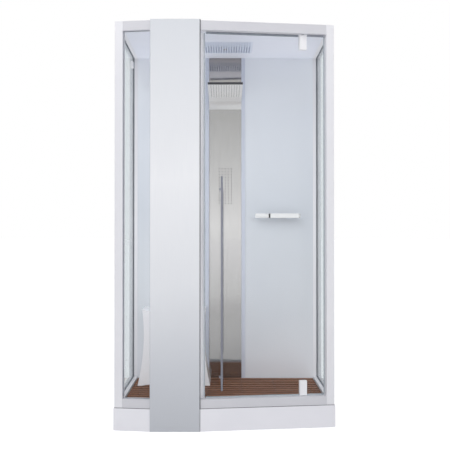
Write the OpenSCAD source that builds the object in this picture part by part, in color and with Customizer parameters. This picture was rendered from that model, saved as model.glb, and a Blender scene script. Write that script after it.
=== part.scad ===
// Corner shower cabin with a sloped glass front, a full height front column,
// a steel shower column on the rear wall, a slatted deck and a loose stool.
// Millimetres, +Z up, front towards -Y, origin on the floor at the middle of the box.

/* [Cabin] */
// Overall width across the side skirts
cab_w = 1200; // [1150:10:1400]
// Overall depth, front of the column panel to the back of the frame
cab_d = 800; // [780:10:1000]
// Height of the frame above the floor
frame_h = 2200; // [2150:10:2400]
// Slope of both front sections in plan, degrees
front_slope = 8.5; // [6:0.5:9.5]
// Width and depth of the frame profiles
prof = 50; // [46:1:60]

/* [Base] */
// Height of the base, floor to sill
base_h = 120; // [112:1:160]
// Thickness of the skirt panels
skirt_t = 12; // [8:1:16]
// Step of the skirt face in front of the frame face
skirt_step = 4; // [2:1:6]
// Thickness of the tray slab
tray_t = 34; // [30:1:44]
// Depth of the tray basin
basin_d = 20; // [12:1:24]
// Width of the tray rim, frame face to basin
rim_w = 62; // [60:1:80]
// Distance of each levelling foot from the frame faces
foot_inset = 72; // [60:1:100]
// Radius of a levelling foot pad
foot_r = 22; // [15:1:30]
// Thickness of a levelling foot pad
foot_pad_t = 12; // [8:1:16]
// Radius of a levelling foot screw
foot_screw_r = 6; // [4:0.5:8]
// Place of the drain from the cabin's middle, across
drain_x = 192; // [180:1:200]
// Radius of the drain trap
trap_r = 42; // [36:1:48]
// Radius of the drain cover
drain_cover_r = 55; // [50:1:60]
// Thickness of the drain cover
drain_cover_t = 2; // [1:0.5:4]
// Radius of the waste pipe
waste_r = 20; // [16:1:25]
// Wall of the waste pipe
waste_wall = 2; // [1.5:0.5:3]
// Height of the waste pipe's middle above the floor
waste_z = 36; // [30:1:44]
// Distance of the waste pipe's end from the back plane
waste_back = 2; // [1:1:20]

/* [Deck] */
// Width of one deck slat
slat_w = 42; // [38:1:70]
// Gap between two deck slats
slat_gap = 18; // [4:1:24]
// Thickness of the deck slats
slat_t = 22; // [16:1:28]
// Height of the bearers under the slats
bearer_h = 41; // [35:1:45]
// Width of a bearer
bearer_w = 30; // [20:1:40]
// Spacing of the bearers
bearer_pitch = 192; // [180:1:200]
// Number of bearers
bearer_count = 6; // [4:1:6]
// Gap from the deck to what stands round it
deck_gap = 4; // [2:1:6]

/* [Glazing] */
// Thickness of the fixed glass panes
glass_t = 6; // [5:0.5:8]
// Depth of a pane's edge in its groove
glass_bite = 8; // [6:1:10]
// Thickness of the gasket beside and under a pane
gasket_t = 1.5; // [1:0.5:3]
// Width of gasket that shows round a pane
gasket_lip = 2; // [1:0.5:4]
// Width of the clip on the left pane
clip_w = 50; // [30:1:60]
// Height of the clip on the left pane
clip_h = 36; // [20:1:50]
// Depth of the clip on the left pane
clip_d = 16; // [8:1:20]
// Drop of the clip's middle below the top rail
clip_drop = 77; // [70:1:300]
// Place of the clip's middle from the cabin's middle, front to back
clip_y = 164; // [100:1:250]

/* [Front column] */
// Middle of the front column from the cabin's middle, across
column_x = -269.5; // [-300:0.5:-240]
// Width of the front column
column_w = 265; // [240:1:290]
// Thickness of the column panel
panel_t = 12; // [10:1:16]
// Distance of the panel's face in front of the frame face
panel_proud = 8; // [4:1:9]
// Height of the panel's top above the frame
panel_over = 5; // [0:1:10]
// Depth of the housing behind the panel
housing_d = 138; // [125:1:160]
// Sheet thickness of the housing
housing_t = 3; // [2:0.5:5]
// Width of the posts inside the column
column_post_w = 30; // [20:1:40]
// Depth of the posts inside the column
column_post_d = 40; // [30:1:50]
// Thickness of the jamb that the door closes against
jamb_t = 20; // [10:1:25]
// Reach of the jamb over the door's free edge
jamb_lap = 6; // [4:1:12]
// Radius of the steam generator's tank
tank_r = 52; // [40:1:54]
// Height of the steam generator's tank
tank_h = 330; // [250:10:450]
// Height of the steam generator's stand
tank_stand_h = 30; // [20:1:50]
// Radius of the steam pipe
steam_pipe_r = 12; // [8:1:15]
// Height of the steam outlet above the floor
steam_z = 620; // [600:10:700]
// Reach of the steam outlet into the cabin
steam_out = 14; // [8:1:25]
// Width of the control unit
control_w = 150; // [100:1:180]
// Height of the control unit
control_h = 230; // [150:1:300]
// Depth of the control unit
control_d = 58; // [40:1:70]
// Height of the control unit's foot above the floor
control_z = 1180; // [900:10:1400]

/* [Door] */
// Thickness of the door glass
door_t = 8; // [6:0.5:10]
// Distance of the door glass's middle behind the frame face
door_n = 38; // [36:0.5:39]
// Gap from the column to the door's free edge
door_gap = 30; // [26:1:40]
// Gap from the door glass to the front right post
tail_gap = 6; // [5:0.5:8]
// Gap from the sill to the door glass
door_under = 8; // [7:0.5:12]
// Gap from the door glass to the header
door_over = 8; // [7:0.5:12]
// Distance of the pivot from the front right post
pivot_inset = 124; // [90:1:160]
// Width of a hinge plate
hinge_w = 40; // [36:1:56]
// Height of a hinge plate
hinge_h = 80; // [60:1:100]
// Thickness of a hinge plate over the glass
hinge_t = 24; // [18:1:24]
// Wall round a pivot pin inside the glass notch
hinge_notch_wall = 8; // [5:1:10]
// Radius of a pivot pin
pin_r = 6; // [4:0.5:7]
// Radial clearance of a pivot pin in its bush
pin_fit = 0.05; // [0.02:0.01:0.1]
// Wall of a pivot bush
bush_wall = 3.5; // [2:0.5:4]
// Depth of a pivot bush in its rail
bush_d = 22; // [15:1:30]
// Thickness of the lower bush's flange
bush_flange_t = 1.7; // [1:0.1:1.8]
// Running gap under the lower hinge plate
hinge_run = 0.3; // [0.2:0.1:0.6]
// Distance of the handle bar from the door's free edge
handle_inset = 88; // [60:1:120]
// Radius of the handle bar
handle_r = 6; // [5:0.5:7]
// Height of the handle bar's foot above the floor
handle_z = 214; // [200:1:400]
// Length of the handle bar
handle_len = 1150; // [600:10:1300]
// Distance of a handle fixing from the bar's end
fixing_inset = 68; // [40:1:100]
// Distance from the glass to the middle of the handle bar
handle_out = 46; // [35:1:50]
// Radius of a handle fixing
fixing_r = 8; // [7:0.5:10]
// Radius of the screw through the glass
fixing_screw_r = 4; // [3:0.5:5]
// Thickness of the disc behind the glass
fixing_cap_t = 4; // [3:0.5:6]
// Thickness of the door seals
seal_t = 4; // [3:0.5:5]
// Gap from the door glass to the jamb behind it
jamb_gap = 17; // [10:1:20]
// Running gap of the door seals
seal_gap = 0.7; // [0.5:0.1:1]
// Height of the stop strip under the header
stop_h = 12; // [9:1:18]

/* [Rear wall] */
// Thickness of the rear wall panels
wall_t = 8; // [6:1:10]
// Width of the steel shower column
steel_w = 200; // [180:1:240]
// Distance of the steel column's face in front of the wall
steel_proud = 10; // [8:1:20]
// Sheet thickness of the steel column
steel_t = 2; // [1:0.5:3]
// Width of the trim beside the steel column
trim_w = 23; // [18:1:30]
// Distance of the trim's face in front of the wall
trim_proud = 6; // [3:1:7]
// Width of a rear mullion
mullion_w = 35; // [28:1:45]
// Thickness of the rear access cover
cover_t = 4; // [2:1:6]
// Number of jets across
jet_cols = 5; // [3:1:7]
// Number of jets up the column
jet_rows = 13; // [5:1:15]
// Spacing of the jets across
jet_pitch_x = 19; // [16:0.5:20]
// Spacing of the jets up the column
jet_pitch_z = 18; // [14:0.5:18]
// Radius of a jet
jet_r = 2.8; // [2:0.1:4]
// Height of the jets' middle above the floor
jet_z = 1352; // [1320:1:1500]
// Margin of the jet manifold round its jets
jet_margin = 14; // [8:1:16]
// Thickness of the jet manifold
jet_block_t = 12; // [8:1:14]
// Distance of the jets in front of the steel
jet_out = 1.5; // [0.5:0.5:3]
// Gap round what passes through a sheet or profile
pass_gap = 0.3; // [0.2:0.1:0.5]

/* [Overhead shower] */
// Length of the sloped slab from the cove
over_len = 394; // [300:1:420]
// Thickness of the slab
over_t = 14; // [12:1:20]
// Rise of the slab towards the front, degrees
over_tilt = 4; // [2:0.5:6]
// Radius of the cove under the slab
cove_r = 50; // [30:1:70]
// Thickness left at the foot of the cove
cove_lip = 1; // [0.5:0.5:3]
// Drop of the slab's underside at the cove below the top rail
over_drop = 272; // [230:1:350]
// Margin of the nozzle plate in the slab
nozzle_margin = 10; // [8:1:20]
// Length of the nozzle plate
nozzle_len = 300; // [200:1:300]
// Thickness of the nozzle plate
nozzle_plate_t = 3; // [2:0.5:4]
// Number of nozzles across
nozzle_cols = 12; // [6:1:12]
// Number of nozzle rows
nozzle_rows = 16; // [6:1:16]
// Radius of a nozzle
nozzle_r = 2; // [1:0.1:2.5]

/* [Rain head] */
// Width of the rain head
rain_w = 320; // [260:10:360]
// Depth of the rain head, front to back
rain_d = 300; // [260:10:320]
// Place of the rain head's middle from the cabin's middle, front to back
rain_y = 50; // [0:1:60]
// Thickness of the ceiling panel
ceiling_t = 8; // [6:1:10]
// Thickness of the rain head's plate
rain_t = 8; // [6:1:12]
// Number of slots in the rain head
rain_slots = 20; // [10:1:20]
// Width of a slot in the rain head
rain_slot_w = 6; // [4:0.5:8]
// Border round the slots of the rain head
rain_border = 10; // [8:1:16]
// Height of the water box over the rain head
rain_box_h = 34; // [30:1:38]
// Wall of the water box over the rain head
rain_box_wall = 3; // [2:1:4]

/* [Mixer] */
// Middle of the mixer from the cabin's middle, across
mixer_x = 364.5; // [340:0.5:380]
// Height of the mixer above the floor
mixer_z = 1167; // [1000:1:1300]
// Height of the mixer's body and handles
mixer_h = 27; // [24:1:36]
// Depth of the mixer's body
mixer_d = 40; // [34:1:50]
// Length of the mixer's body
mixer_len = 175; // [170:1:200]
// Distance from the wall to the back of the mixer
mixer_off = 34; // [28:1:50]
// Distance between the two water inlets
inlet_pitch = 150; // [130:1:150]
// Radius of an inlet union
union_r = 11; // [10.5:0.5:12]
// Radius of the male thread at the back of an inlet
thread_r = 10.48; // [9:0.01:10.48]
// Length of the male thread at the back of an inlet
thread_len = 22; // [16:1:24]
// Bore of an inlet
inlet_bore_r = 7; // [5:0.5:8]
// Radius of the cover ring on the wall round an inlet
ring_r = 13.3; // [13:0.1:16]
// Thickness of the cover ring on the wall round an inlet
ring_t = 4; // [2:0.5:6]
// Length of the black sleeve beside the flow handle
sleeve_len = 9; // [6:0.5:12]
// Length of the flow handle
flow_len = 83; // [60:1:90]
// Length of the temperature knob
knob_len = 10; // [8:1:25]
// Running gap between a handle and its neighbour
turn_gap = 0.4; // [0.3:0.1:1]
// Radius of a spindle
spindle_r = 6; // [4:0.5:7]
// Depth of a spindle in the flow handle
spindle_len = 40; // [20:1:50]
// Depth of a spindle in the temperature knob
knob_bore = 6; // [4:0.5:7]

/* [Water pipes] */
// Radius of the water pipes
pipe_r = 8; // [6:0.5:9]
// Size of a pipe elbow
elbow = 26; // [22:1:30]
// Distance of the pipes' middle in front of the back plane
pipe_back = 22; // [20:1:22]
// Width and height of the diverter valve
diverter_s = 60; // [50:1:80]
// Height of the diverter valve above the mixer
diverter_up = 48; // [40:1:60]

/* [Stool] */
// Middle of the stool from the cabin's middle, across
stool_x = -302.5; // [-305:0.5:-290]
// Gap from the stool to the face of the steel column
stool_gap = 3; // [3:1:60]
// Height of the stool
stool_h = 447; // [400:1:480]
// Width of the stool at its waist
stool_waist = 356; // [300:1:360]
// Depth of the stool at its waist
stool_waist_d = 240; // [200:1:245]
// Height of the waist above the deck, seen from the front
stool_waist_z = 300; // [200:1:320]
// Height of the waist above the deck, seen from the side
stool_side_z = 220; // [150:1:260]
// Radius of the stool's sides
stool_side_r = 1300; // [1200:10:1600]
// Radius of the stool's front and back
stool_front_r = 1500; // [1400:10:2000]
// Radius of the seat's hollow
seat_r = 700; // [600:10:1200]
// Depth of the seat's hollow
seat_sag = 25; // [15:1:26]
// Rise of the bottom edge in the middle
stool_arch = 14; // [8:1:20]
// Radius of the bottom edge's arch
arch_r = 1300; // [1200:10:1600]
// Wall of the stool
stool_wall = 10; // [6:1:14]

/* [Hidden] */
$fn = 64;

white = [0.92, 0.92, 0.94];
skirt_white = [0.86, 0.86, 0.88];
satin = [0.84, 0.86, 0.88];
steel = [0.62, 0.63, 0.64];
chrome = [0.8, 0.82, 0.84];
wall_blue = [0.8, 0.84, 0.88];
clear = [0.75, 0.82, 0.84, 0.3];
rubber = [0.75, 0.77, 0.8];
teak = [0.5, 0.38, 0.32];
black = [0.1, 0.1, 0.1];
brass = [0.75, 0.6, 0.3];
grey = [0.5, 0.52, 0.54];

// A hair past a face, so that a cut goes right through it
cut = 1;
// Frame planes
hw = cab_w / 2 - skirt_step;
y_back = cab_d / 2;
y_panel = -cab_d / 2;
y_face = y_panel + panel_proud;
y_rear = y_back - prof;
z_sill = base_h + prof;
z_head = frame_h - prof;
// Column edges, left and right
xl = column_x - column_w / 2;
xr = column_x + column_w / 2;
y_panel_back = y_panel + panel_t;
y_housing = y_panel_back + housing_d;
// Rear planes
y_steel = y_rear - steel_proud;
y_wall_back = y_rear + wall_t;
steel_x = steel_w / 2;
mullion_x0 = steel_x + trim_w - mullion_w;
mullion_x1 = steel_x + trim_w;
y_pipe = y_back - pipe_back;
// Heights inside the base
z_tray = base_h - tray_t;
z_basin = base_h - basin_d;
z_slat = z_basin + bearer_h;
z_deck = z_slat + slat_t;
// Door
pivot_s = run_len(1) - pivot_inset;
door_s1 = run_len(1) - tail_gap;
door_z0 = z_sill + door_under;
door_z1 = z_head - door_over;
hinge_z0 = z_sill + bush_flange_t + hinge_run;
hinge_top_z = z_head - door_over / 2;
bush_r = pin_r + bush_wall;
hinge_web = 2 * pin_r + hinge_notch_wall * 2;
hinge_notch = bush_d + hinge_notch_wall;
jamb_n = door_n + door_t / 2 + jamb_gap;
handle_n = door_n - door_t / 2 - handle_out;
fixing_z = [handle_z + fixing_inset, handle_z + handle_len - fixing_inset];
// Overhead shower
over_y = y_steel - cove_r;
over_z = z_head - over_drop;
// Mixer
y_mixer_back = y_rear - mixer_off;
y_mixer = y_mixer_back - mixer_d / 2;
mixer_x0 = mixer_x - mixer_len / 2;
mixer_x1 = mixer_x + mixer_len / 2;
diverter_z = mixer_z + diverter_up;
rain_z = z_head + ceiling_t + (rain_box_h - rain_box_wall) / 2;
over_feed_z = over_z + over_t / 2;

// Stool
stool_rise = stool_h - stool_side_z;
stool_half_d = stool_waist_d / 2 + stool_front_r - sqrt(pow(stool_front_r, 2) - pow(stool_rise, 2));
stool_y = y_steel - stool_gap - stool_half_d;

// Distance along a sloped front section from the column's edge, measured across the cabin
function slope_run(x) = x > xr ? x - xr : x < xl ? xl - x : 0;
// Front to back place of a plane n behind the frame face
function front_y(x, n) = y_face + slope_run(x) * tan(front_slope) + n / cos(front_slope);
// Column edge on side s, 1 right and -1 left
function edge_x(s) = s > 0 ? xr : xl;
// Length of a front section, column edge to corner post
function run_len(s) = (hw - prof - s * edge_x(s) + prof * sin(front_slope)) / cos(front_slope);
// Corner post's four corners on side s
function post_in(s) = [s * (hw - prof), front_y(s * (hw - prof), prof)];
function post_foot(s) = post_in(s) + prof * [s * sin(front_slope), -cos(front_slope)];
function post_out(s) = [s * hw, front_y(s * hw, 0)];
function post_side(s) = [s * hw, post_in(s)[1]];
// Plan outline inside the frame: n in from the frame faces, y at the rear
function inner_plan(n, y) = [[-(hw - n), y], [hw - n, y], [hw - n, front_y(hw - n, n)],
    [xr, front_y(xr, n)], [xl, front_y(xl, n)], [-(hw - n), front_y(-(hw - n), n)]];

// Box from corner a to corner b
module box(a, b) { translate(a) cube(b - a); }

// Rod from a point along +Y
module rod_y(p, len, r) { translate(p) rotate([-90, 0, 0]) cylinder(r = r, h = len); }

// Rod from a point along +X
module rod_x(p, len, r) { translate(p) rotate([0, 90, 0]) cylinder(r = r, h = len); }

// Local frame of a front section: X along it from the column, Y inwards
module on_front(s) {
    translate([edge_x(s), y_face, 0])
        if (s < 0) mirror([1, 0, 0]) rotate([0, 0, front_slope]) children();
        else rotate([0, 0, front_slope]) children();
}

// Everything left of the column by gap
module left_of_column(gap) { box([-cab_w, -cab_d, -cut], [xl - gap, cab_d, 2 * frame_h]); }

// Plan area of the front column with a margin
module column_plan(gap) {
    translate([xl - gap, y_panel - cut]) square([column_w + 2 * gap, y_housing + gap - y_panel + cut]);
}

// Side pane, thicker by 2 * side and longer at each edge by edge
module side_pane(s, side, edge) {
    y0 = post_in(s)[1] - glass_bite - edge;
    x0 = s * (hw - prof / 2);
    half = glass_t / 2 + side;
    box([x0 - half, y0, z_sill - glass_bite - edge],
        [x0 + half, y_rear + glass_bite + edge, z_head + glass_bite + edge]);
}

// Front left pane, thicker by 2 * side, longer at each edge by edge, and gap clear of the column
module front_pane(side, edge, gap) {
    half = glass_t / 2 + side;
    intersection() {
        on_front(-1) box([-prof, prof / 2 - half, z_sill - glass_bite - edge],
            [run_len(-1) + glass_bite + edge, prof / 2 + half, z_head + glass_bite + edge]);
        left_of_column(gap);
    }
}

module side_slot(s) { side_pane(s, gasket_t, gasket_t); }

module front_slot() { front_pane(gasket_t, gasket_t, 0); }

// Base

module shower_tray() {
    plan = inner_plan(skirt_t - skirt_step, y_back);
    color(skirt_white) difference() {
        translate([0, 0, z_tray]) linear_extrude(tray_t)
            polygon([for (i = [0:3]) plan[i], [xr, y_panel_back], [xl, y_panel_back], for (i = [4, 5]) plan[i]]);
        translate([0, 0, z_basin]) linear_extrude(tray_t) difference() {
            polygon(inner_plan(rim_w, y_steel - deck_gap / 2));
            column_plan(deck_gap);
        }
        translate([drain_x, 0, 0]) cylinder(r = trap_r, h = base_h);
    }
}

module front_skirt(s) {
    n0 = -skirt_step;
    n1 = skirt_t - skirt_step;
    color(skirt_white) linear_extrude(base_h) polygon([[edge_x(s), front_y(edge_x(s), n0)],
        [s * (hw - n0), front_y(s * (hw - n0), n0)], [s * (hw - n1), front_y(s * (hw - n1), n1)],
        [edge_x(s), front_y(edge_x(s), n1)]]);
}

module front_skirts() { for (s = [-1, 1]) front_skirt(s); }

module side_skirts() {
    n0 = -skirt_step;
    n1 = skirt_t - skirt_step;
    color(skirt_white) for (s = [-1, 1]) linear_extrude(base_h)
        polygon([[s * (hw - n0), front_y(s * (hw - n0), n0)], [s * (hw - n0), y_back],
            [s * (hw - n1), y_back], [s * (hw - n1), front_y(s * (hw - n1), n1)]]);
}

module levelling_feet() {
    fx = hw - foot_inset;
    mx = (xr + hw) / 2;
    spots = [[-fx, y_back - foot_inset], [0, y_back - foot_inset], [fx, y_back - foot_inset],
        [-fx, front_y(-fx, foot_inset)], [fx, front_y(fx, foot_inset)],
        [column_x, y_panel_back + foot_inset], [mx, front_y(mx, foot_inset)]];
    color(grey) for (p = spots) translate([p[0], p[1], 0]) {
        cylinder(r = foot_r, h = foot_pad_t);
        cylinder(r = foot_screw_r, h = z_tray);
    }
}

module drain_trap() {
    color(grey) difference() {
        union() {
            translate([drain_x, 0, foot_pad_t]) cylinder(r = trap_r, h = z_basin - foot_pad_t);
            rod_y([drain_x, 0, waste_z], trap_r + waste_wall, waste_r + waste_wall);
        }
        translate([drain_x, 0, foot_pad_t + waste_wall])
            cylinder(r = trap_r - waste_wall, h = base_h);
        rod_y([drain_x, 0, waste_z], trap_r + waste_r, waste_r - waste_wall);
    }
}

module drain_cover() {
    slot_r = drain_cover_t;
    ring = (drain_cover_r + slot_r) / 2;
    color(chrome) difference() {
        translate([drain_x, 0, z_basin]) cylinder(r = drain_cover_r, h = drain_cover_t);
        for (a = [0:30:330]) translate([drain_x + ring * cos(a), ring * sin(a), z_basin - cut])
            cylinder(r = slot_r, h = drain_cover_t + 2 * cut);
    }
}

module waste_pipe() {
    y0 = trap_r + waste_wall;
    len = y_back - waste_back - y0;
    color(white) difference() {
        rod_y([drain_x, y0, waste_z], len, waste_r);
        rod_y([drain_x, y0 - cut, waste_z], len + 2 * cut, waste_r - waste_wall);
    }
}

// Deck

module deck_bearers() {
    n = rim_w + deck_gap;
    x0 = -(bearer_count - 1) / 2 * bearer_pitch;
    color(teak) translate([0, 0, z_basin]) linear_extrude(bearer_h) difference() {
        intersection() {
            polygon(inner_plan(n, y_steel - deck_gap));
            for (i = [0:bearer_count - 1])
                translate([x0 + i * bearer_pitch - bearer_w / 2, y_panel]) square([bearer_w, cab_d]);
        }
        column_plan(deck_gap * 2);
    }
}

module deck_slats() {
    pitch = slat_w + slat_gap;
    y1 = y_steel - deck_gap;
    rows = floor((y1 - front_y(xr, rim_w)) / pitch);
    color(teak) translate([0, 0, z_slat]) linear_extrude(slat_t) difference() {
        intersection() {
            polygon(inner_plan(prof + deck_gap, y1));
            for (i = [0:rows - 1])
                translate([-cab_w / 2, y1 - slat_w - i * pitch]) square([cab_w, slat_w]);
        }
        column_plan(deck_gap);
    }
}

// Frame

module front_posts() {
    color(white) for (s = [-1, 1]) difference() {
        translate([0, 0, base_h]) linear_extrude(frame_h - base_h)
            polygon([post_out(s), post_side(s), post_in(s), post_foot(s)]);
        side_slot(s);
        if (s < 0) front_slot();
    }
}

module rear_posts() {
    color(white) for (s = [-1, 1]) difference() {
        translate([s * (hw - prof / 2) - prof / 2, y_rear, base_h]) cube([prof, prof, frame_h - base_h]);
        side_slot(s);
    }
}

// Rail of a front section from height z
module front_rail(s, z) {
    translate([0, 0, z]) linear_extrude(prof) polygon([[edge_x(s), front_y(edge_x(s), 0)],
        post_foot(s), post_in(s), [edge_x(s), front_y(edge_x(s), prof)]]);
}

module sill_front_left() {
    color(white) difference() {
        front_rail(-1, base_h);
        front_slot();
    }
}

module sill_front_right() {
    color(white) difference() {
        front_rail(1, base_h);
        on_front(1) translate([pivot_s, door_n, z_sill - bush_d]) cylinder(r = bush_r, h = prof);
    }
}

module header_front_left() {
    color(white) difference() {
        front_rail(-1, z_head);
        front_slot();
    }
}

module header_front_right() {
    color(white) difference() {
        front_rail(1, z_head);
        on_front(1) translate([pivot_s, door_n, z_head + bush_d - prof]) cylinder(r = bush_r, h = prof);
    }
}

// Rails of both sides from height z
module side_rails(z) {
    color(white) for (s = [-1, 1]) difference() {
        translate([s * (hw - prof / 2) - prof / 2, post_in(s)[1], z])
            cube([prof, y_rear - post_in(s)[1], prof]);
        side_slot(s);
    }
}

module side_sills() { side_rails(base_h); }

module side_headers() { side_rails(z_head); }

module sill_rear() {
    color(white) box([-(hw - prof), y_wall_back, base_h], [hw - prof, y_back, z_sill]);
}

module header_rear() {
    half = elbow / 2 + pass_gap;
    color(white) difference() {
        box([-(hw - prof), y_rear, z_head], [hw - prof, y_back, frame_h]);
        box([-half, y_rear - cut, z_head - cut], [half, y_pipe + half, rain_z + half]);
    }
}

module rear_mullions() {
    color(white) difference() {
        for (s = [-1, 1]) translate([s * (mullion_x0 + mullion_x1) / 2 - mullion_w / 2, y_wall_back, z_sill])
            cube([mullion_w, y_back - y_wall_back, z_head - z_sill]);
        rod_x([steel_x / 2, y_pipe, diverter_z], steel_w, pipe_r + pass_gap);
    }
}

// Ceiling

module ceiling_panel() {
    color(wall_blue) translate([0, 0, z_head]) linear_extrude(ceiling_t) difference() {
        polygon(inner_plan(prof, y_rear));
        translate([-rain_w / 2, rain_y - rain_d / 2]) square([rain_w, rain_d]);
    }
}

module rain_head() {
    pitch = (rain_w - 2 * rain_border) / rain_slots;
    w = rain_w - 2 * pass_gap;
    d = rain_d - 2 * pass_gap;
    color(steel) difference() {
        translate([-w / 2, rain_y - d / 2, z_head]) cube([w, d, rain_t]);
        for (i = [0:rain_slots - 1]) translate([-rain_w / 2 + rain_border + (i + 0.5) * pitch - rain_slot_w / 2,
            rain_y - rain_d / 2 + rain_border, z_head - cut])
            cube([rain_slot_w, rain_d - 2 * rain_border, rain_t + 2 * cut]);
    }
}

module rain_water_box() {
    lip = rain_border;
    z0 = z_head + max(ceiling_t, rain_t);
    w = rain_w + 2 * lip;
    d = rain_d + 2 * lip;
    in = lip + rain_box_wall;
    color(white) difference() {
        translate([-w / 2, rain_y - d / 2, z0]) cube([w, d, rain_box_h]);
        translate([-w / 2 + in, rain_y - d / 2 + in, z0 - cut])
            cube([w - 2 * in, d - 2 * in, rain_box_h - rain_box_wall + cut]);
        rod_y([0, rain_y, rain_z], rain_d, pipe_r);
    }
}

// Front column

module column_panel() {
    color(satin) box([xl, y_panel, 0], [xr, y_panel_back, frame_h + panel_over]);
}

module column_posts() {
    color(satin) for (x = [xl + housing_t, xr - housing_t - column_post_w])
        translate([x, y_panel_back, base_h]) cube([column_post_w, column_post_d, z_head - base_h]);
}

module column_header() {
    color(white) box([xl, y_panel_back, z_head], [xr, y_face + prof, frame_h]);
}

module column_housing() {
    color(white) difference() {
        box([xl, y_panel_back, base_h], [xr, y_housing, z_head]);
        box([xl + housing_t, y_panel_back - cut, base_h - cut],
            [xr - housing_t, y_housing - housing_t, z_head + cut]);
        rod_y([column_x, y_housing - housing_d / 2, steam_z], housing_d, steam_pipe_r);
    }
}

module strike_jamb() {
    color(white) intersection() {
        on_front(1) box([-prof, jamb_n, z_deck], [door_gap + jamb_lap, jamb_n + jamb_t, z_head]);
        box([xr, -cab_d, 0], [cab_w, cab_d, frame_h]);
    }
}

module steam_generator() {
    half = tank_r + housing_t;
    y0 = y_housing - housing_t - half;
    color(steel) {
        translate([column_x, y0, base_h + tank_stand_h]) cylinder(r = tank_r, h = tank_h);
        box([column_x - half, y0 - half, base_h], [column_x + half, y0 + half, base_h + tank_stand_h]);
    }
}

module steam_outlet() {
    y0 = y_housing - housing_t - tank_r - housing_t;
    z0 = base_h + tank_stand_h + tank_h;
    color(chrome) {
        translate([column_x, y0, z0]) cylinder(r = steam_pipe_r, h = steam_z - z0);
        translate([column_x, y0, steam_z]) sphere(r = steam_pipe_r);
        rod_y([column_x, y0, steam_z], y_housing + steam_out - y0, steam_pipe_r);
    }
}

module control_unit() {
    color(black) translate([column_x - control_w / 2, y_panel_back, control_z])
        cube([control_w, control_d, control_h]);
}

// Glazing

module front_left_glass() { color(clear) front_pane(0, 0, gasket_t); }

module left_glass() { color(clear) side_pane(-1, 0, 0); }

module right_glass() { color(clear) side_pane(1, 0, 0); }

module glazing_gaskets() {
    shown = glass_bite + gasket_lip;
    color(rubber) {
        for (s = [-1, 1]) difference() {
            side_slot(s);
            side_pane(s, 0, 0);
            side_pane(s, gasket_t + cut, -shown);
        }
        difference() {
            front_slot();
            front_pane(0, 0, gasket_t);
            front_pane(gasket_t + cut, -shown, gasket_t + gasket_lip);
        }
    }
}

module pane_clip() {
    x0 = -(hw - prof / 2) + glass_t / 2;
    color(white) translate([x0, clip_y - clip_w / 2, z_head - clip_drop - clip_h / 2])
        cube([clip_d, clip_w, clip_h]);
}

// Rear wall and steel column

module rear_wall(s) {
    x0 = steel_x + trim_w / 2;
    x1 = hw - prof;
    translate([s * (x0 + x1) / 2 - (x1 - x0) / 2, y_rear, base_h])
        cube([x1 - x0, wall_t, z_head - base_h]);
}

module rear_wall_left() { color(wall_blue) rear_wall(-1); }

module rear_wall_right() {
    color(wall_blue) difference() {
        rear_wall(1);
        for (s = [-1, 1]) rod_y([mixer_x + s * inlet_pitch / 2, y_rear - cut, mixer_z],
            wall_t + 2 * cut, union_r + pass_gap);
        rod_y([mixer_x, y_rear - cut, mixer_z], wall_t + 2 * cut, pipe_r + pass_gap);
    }
}

module column_trims() {
    color(wall_blue) for (s = [-1, 1])
        translate([s * (steel_x + trim_w / 2) - trim_w / 2, y_rear - trim_proud, base_h])
            cube([trim_w, trim_proud, z_head - base_h]);
}

// Places of the jets on the steel column
function jet_spots() = [for (i = [0:jet_cols - 1], j = [0:jet_rows - 1])
    [(i - (jet_cols - 1) / 2) * jet_pitch_x, jet_z + (j - (jet_rows - 1) / 2) * jet_pitch_z]];

module steel_column() {
    color(steel) difference() {
        box([-steel_x, y_steel, base_h], [steel_x, y_wall_back, z_head]);
        box([-steel_x + steel_t, y_steel + steel_t, base_h - cut],
            [steel_x - steel_t, y_wall_back + cut, z_head + cut]);
        for (p = jet_spots()) rod_y([p[0], y_steel - cut, p[1]], steel_t + 2 * cut, jet_r + pass_gap / 2);
        rod_y([0, y_steel - cut, over_feed_z], steel_t + 2 * cut, pipe_r + pass_gap);
    }
}

module rear_access_cover() {
    color(white) box([-mullion_x0, y_back - cover_t, z_sill], [mullion_x0, y_back, z_head]);
}

// Side view of the slab with the cove under its rear end
module overhead_profile() {
    cove_z = over_z - cove_r + cove_lip;
    difference() {
        union() {
            translate([over_y, over_z]) rotate(-over_tilt) translate([-over_len, 0])
                square([over_len + 2 * cove_r, over_t]);
            difference() {
                translate([over_y, cove_z]) square([2 * cove_r, over_z + over_t / 2 - cove_z]);
                translate([over_y - cove_lip, cove_z]) circle(r = cove_r);
            }
        }
        translate([y_steel, 0]) square([2 * cove_r, frame_h]);
    }
}

module overhead_shower() {
    pw = steel_w - 2 * nozzle_margin;
    color(steel) difference() {
        translate([-steel_x, 0, 0]) rotate([90, 0, 90]) linear_extrude(steel_w) overhead_profile();
        translate([-pw / 2, over_y, over_z]) rotate([-over_tilt, 0, 0])
            translate([0, nozzle_margin - over_len, -cut]) cube([pw, nozzle_len, over_t / 2 + cut]);
    }
}

module nozzle_plate() {
    pw = steel_w - 2 * nozzle_margin - 2 * pass_gap;
    pl = nozzle_len - 2 * pass_gap;
    px = pw / nozzle_cols;
    py = pl / nozzle_rows;
    color(grey) translate([-pw / 2, over_y, over_z]) rotate([-over_tilt, 0, 0])
        translate([0, nozzle_margin - over_len + pass_gap, 0]) difference() {
            cube([pw, pl, nozzle_plate_t]);
            for (i = [0:nozzle_cols - 1], j = [0:nozzle_rows - 1])
                translate([(i + 0.5) * px, (j + 0.5) * py, -cut]) cylinder(r = nozzle_r, h = over_t);
        }
}

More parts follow.
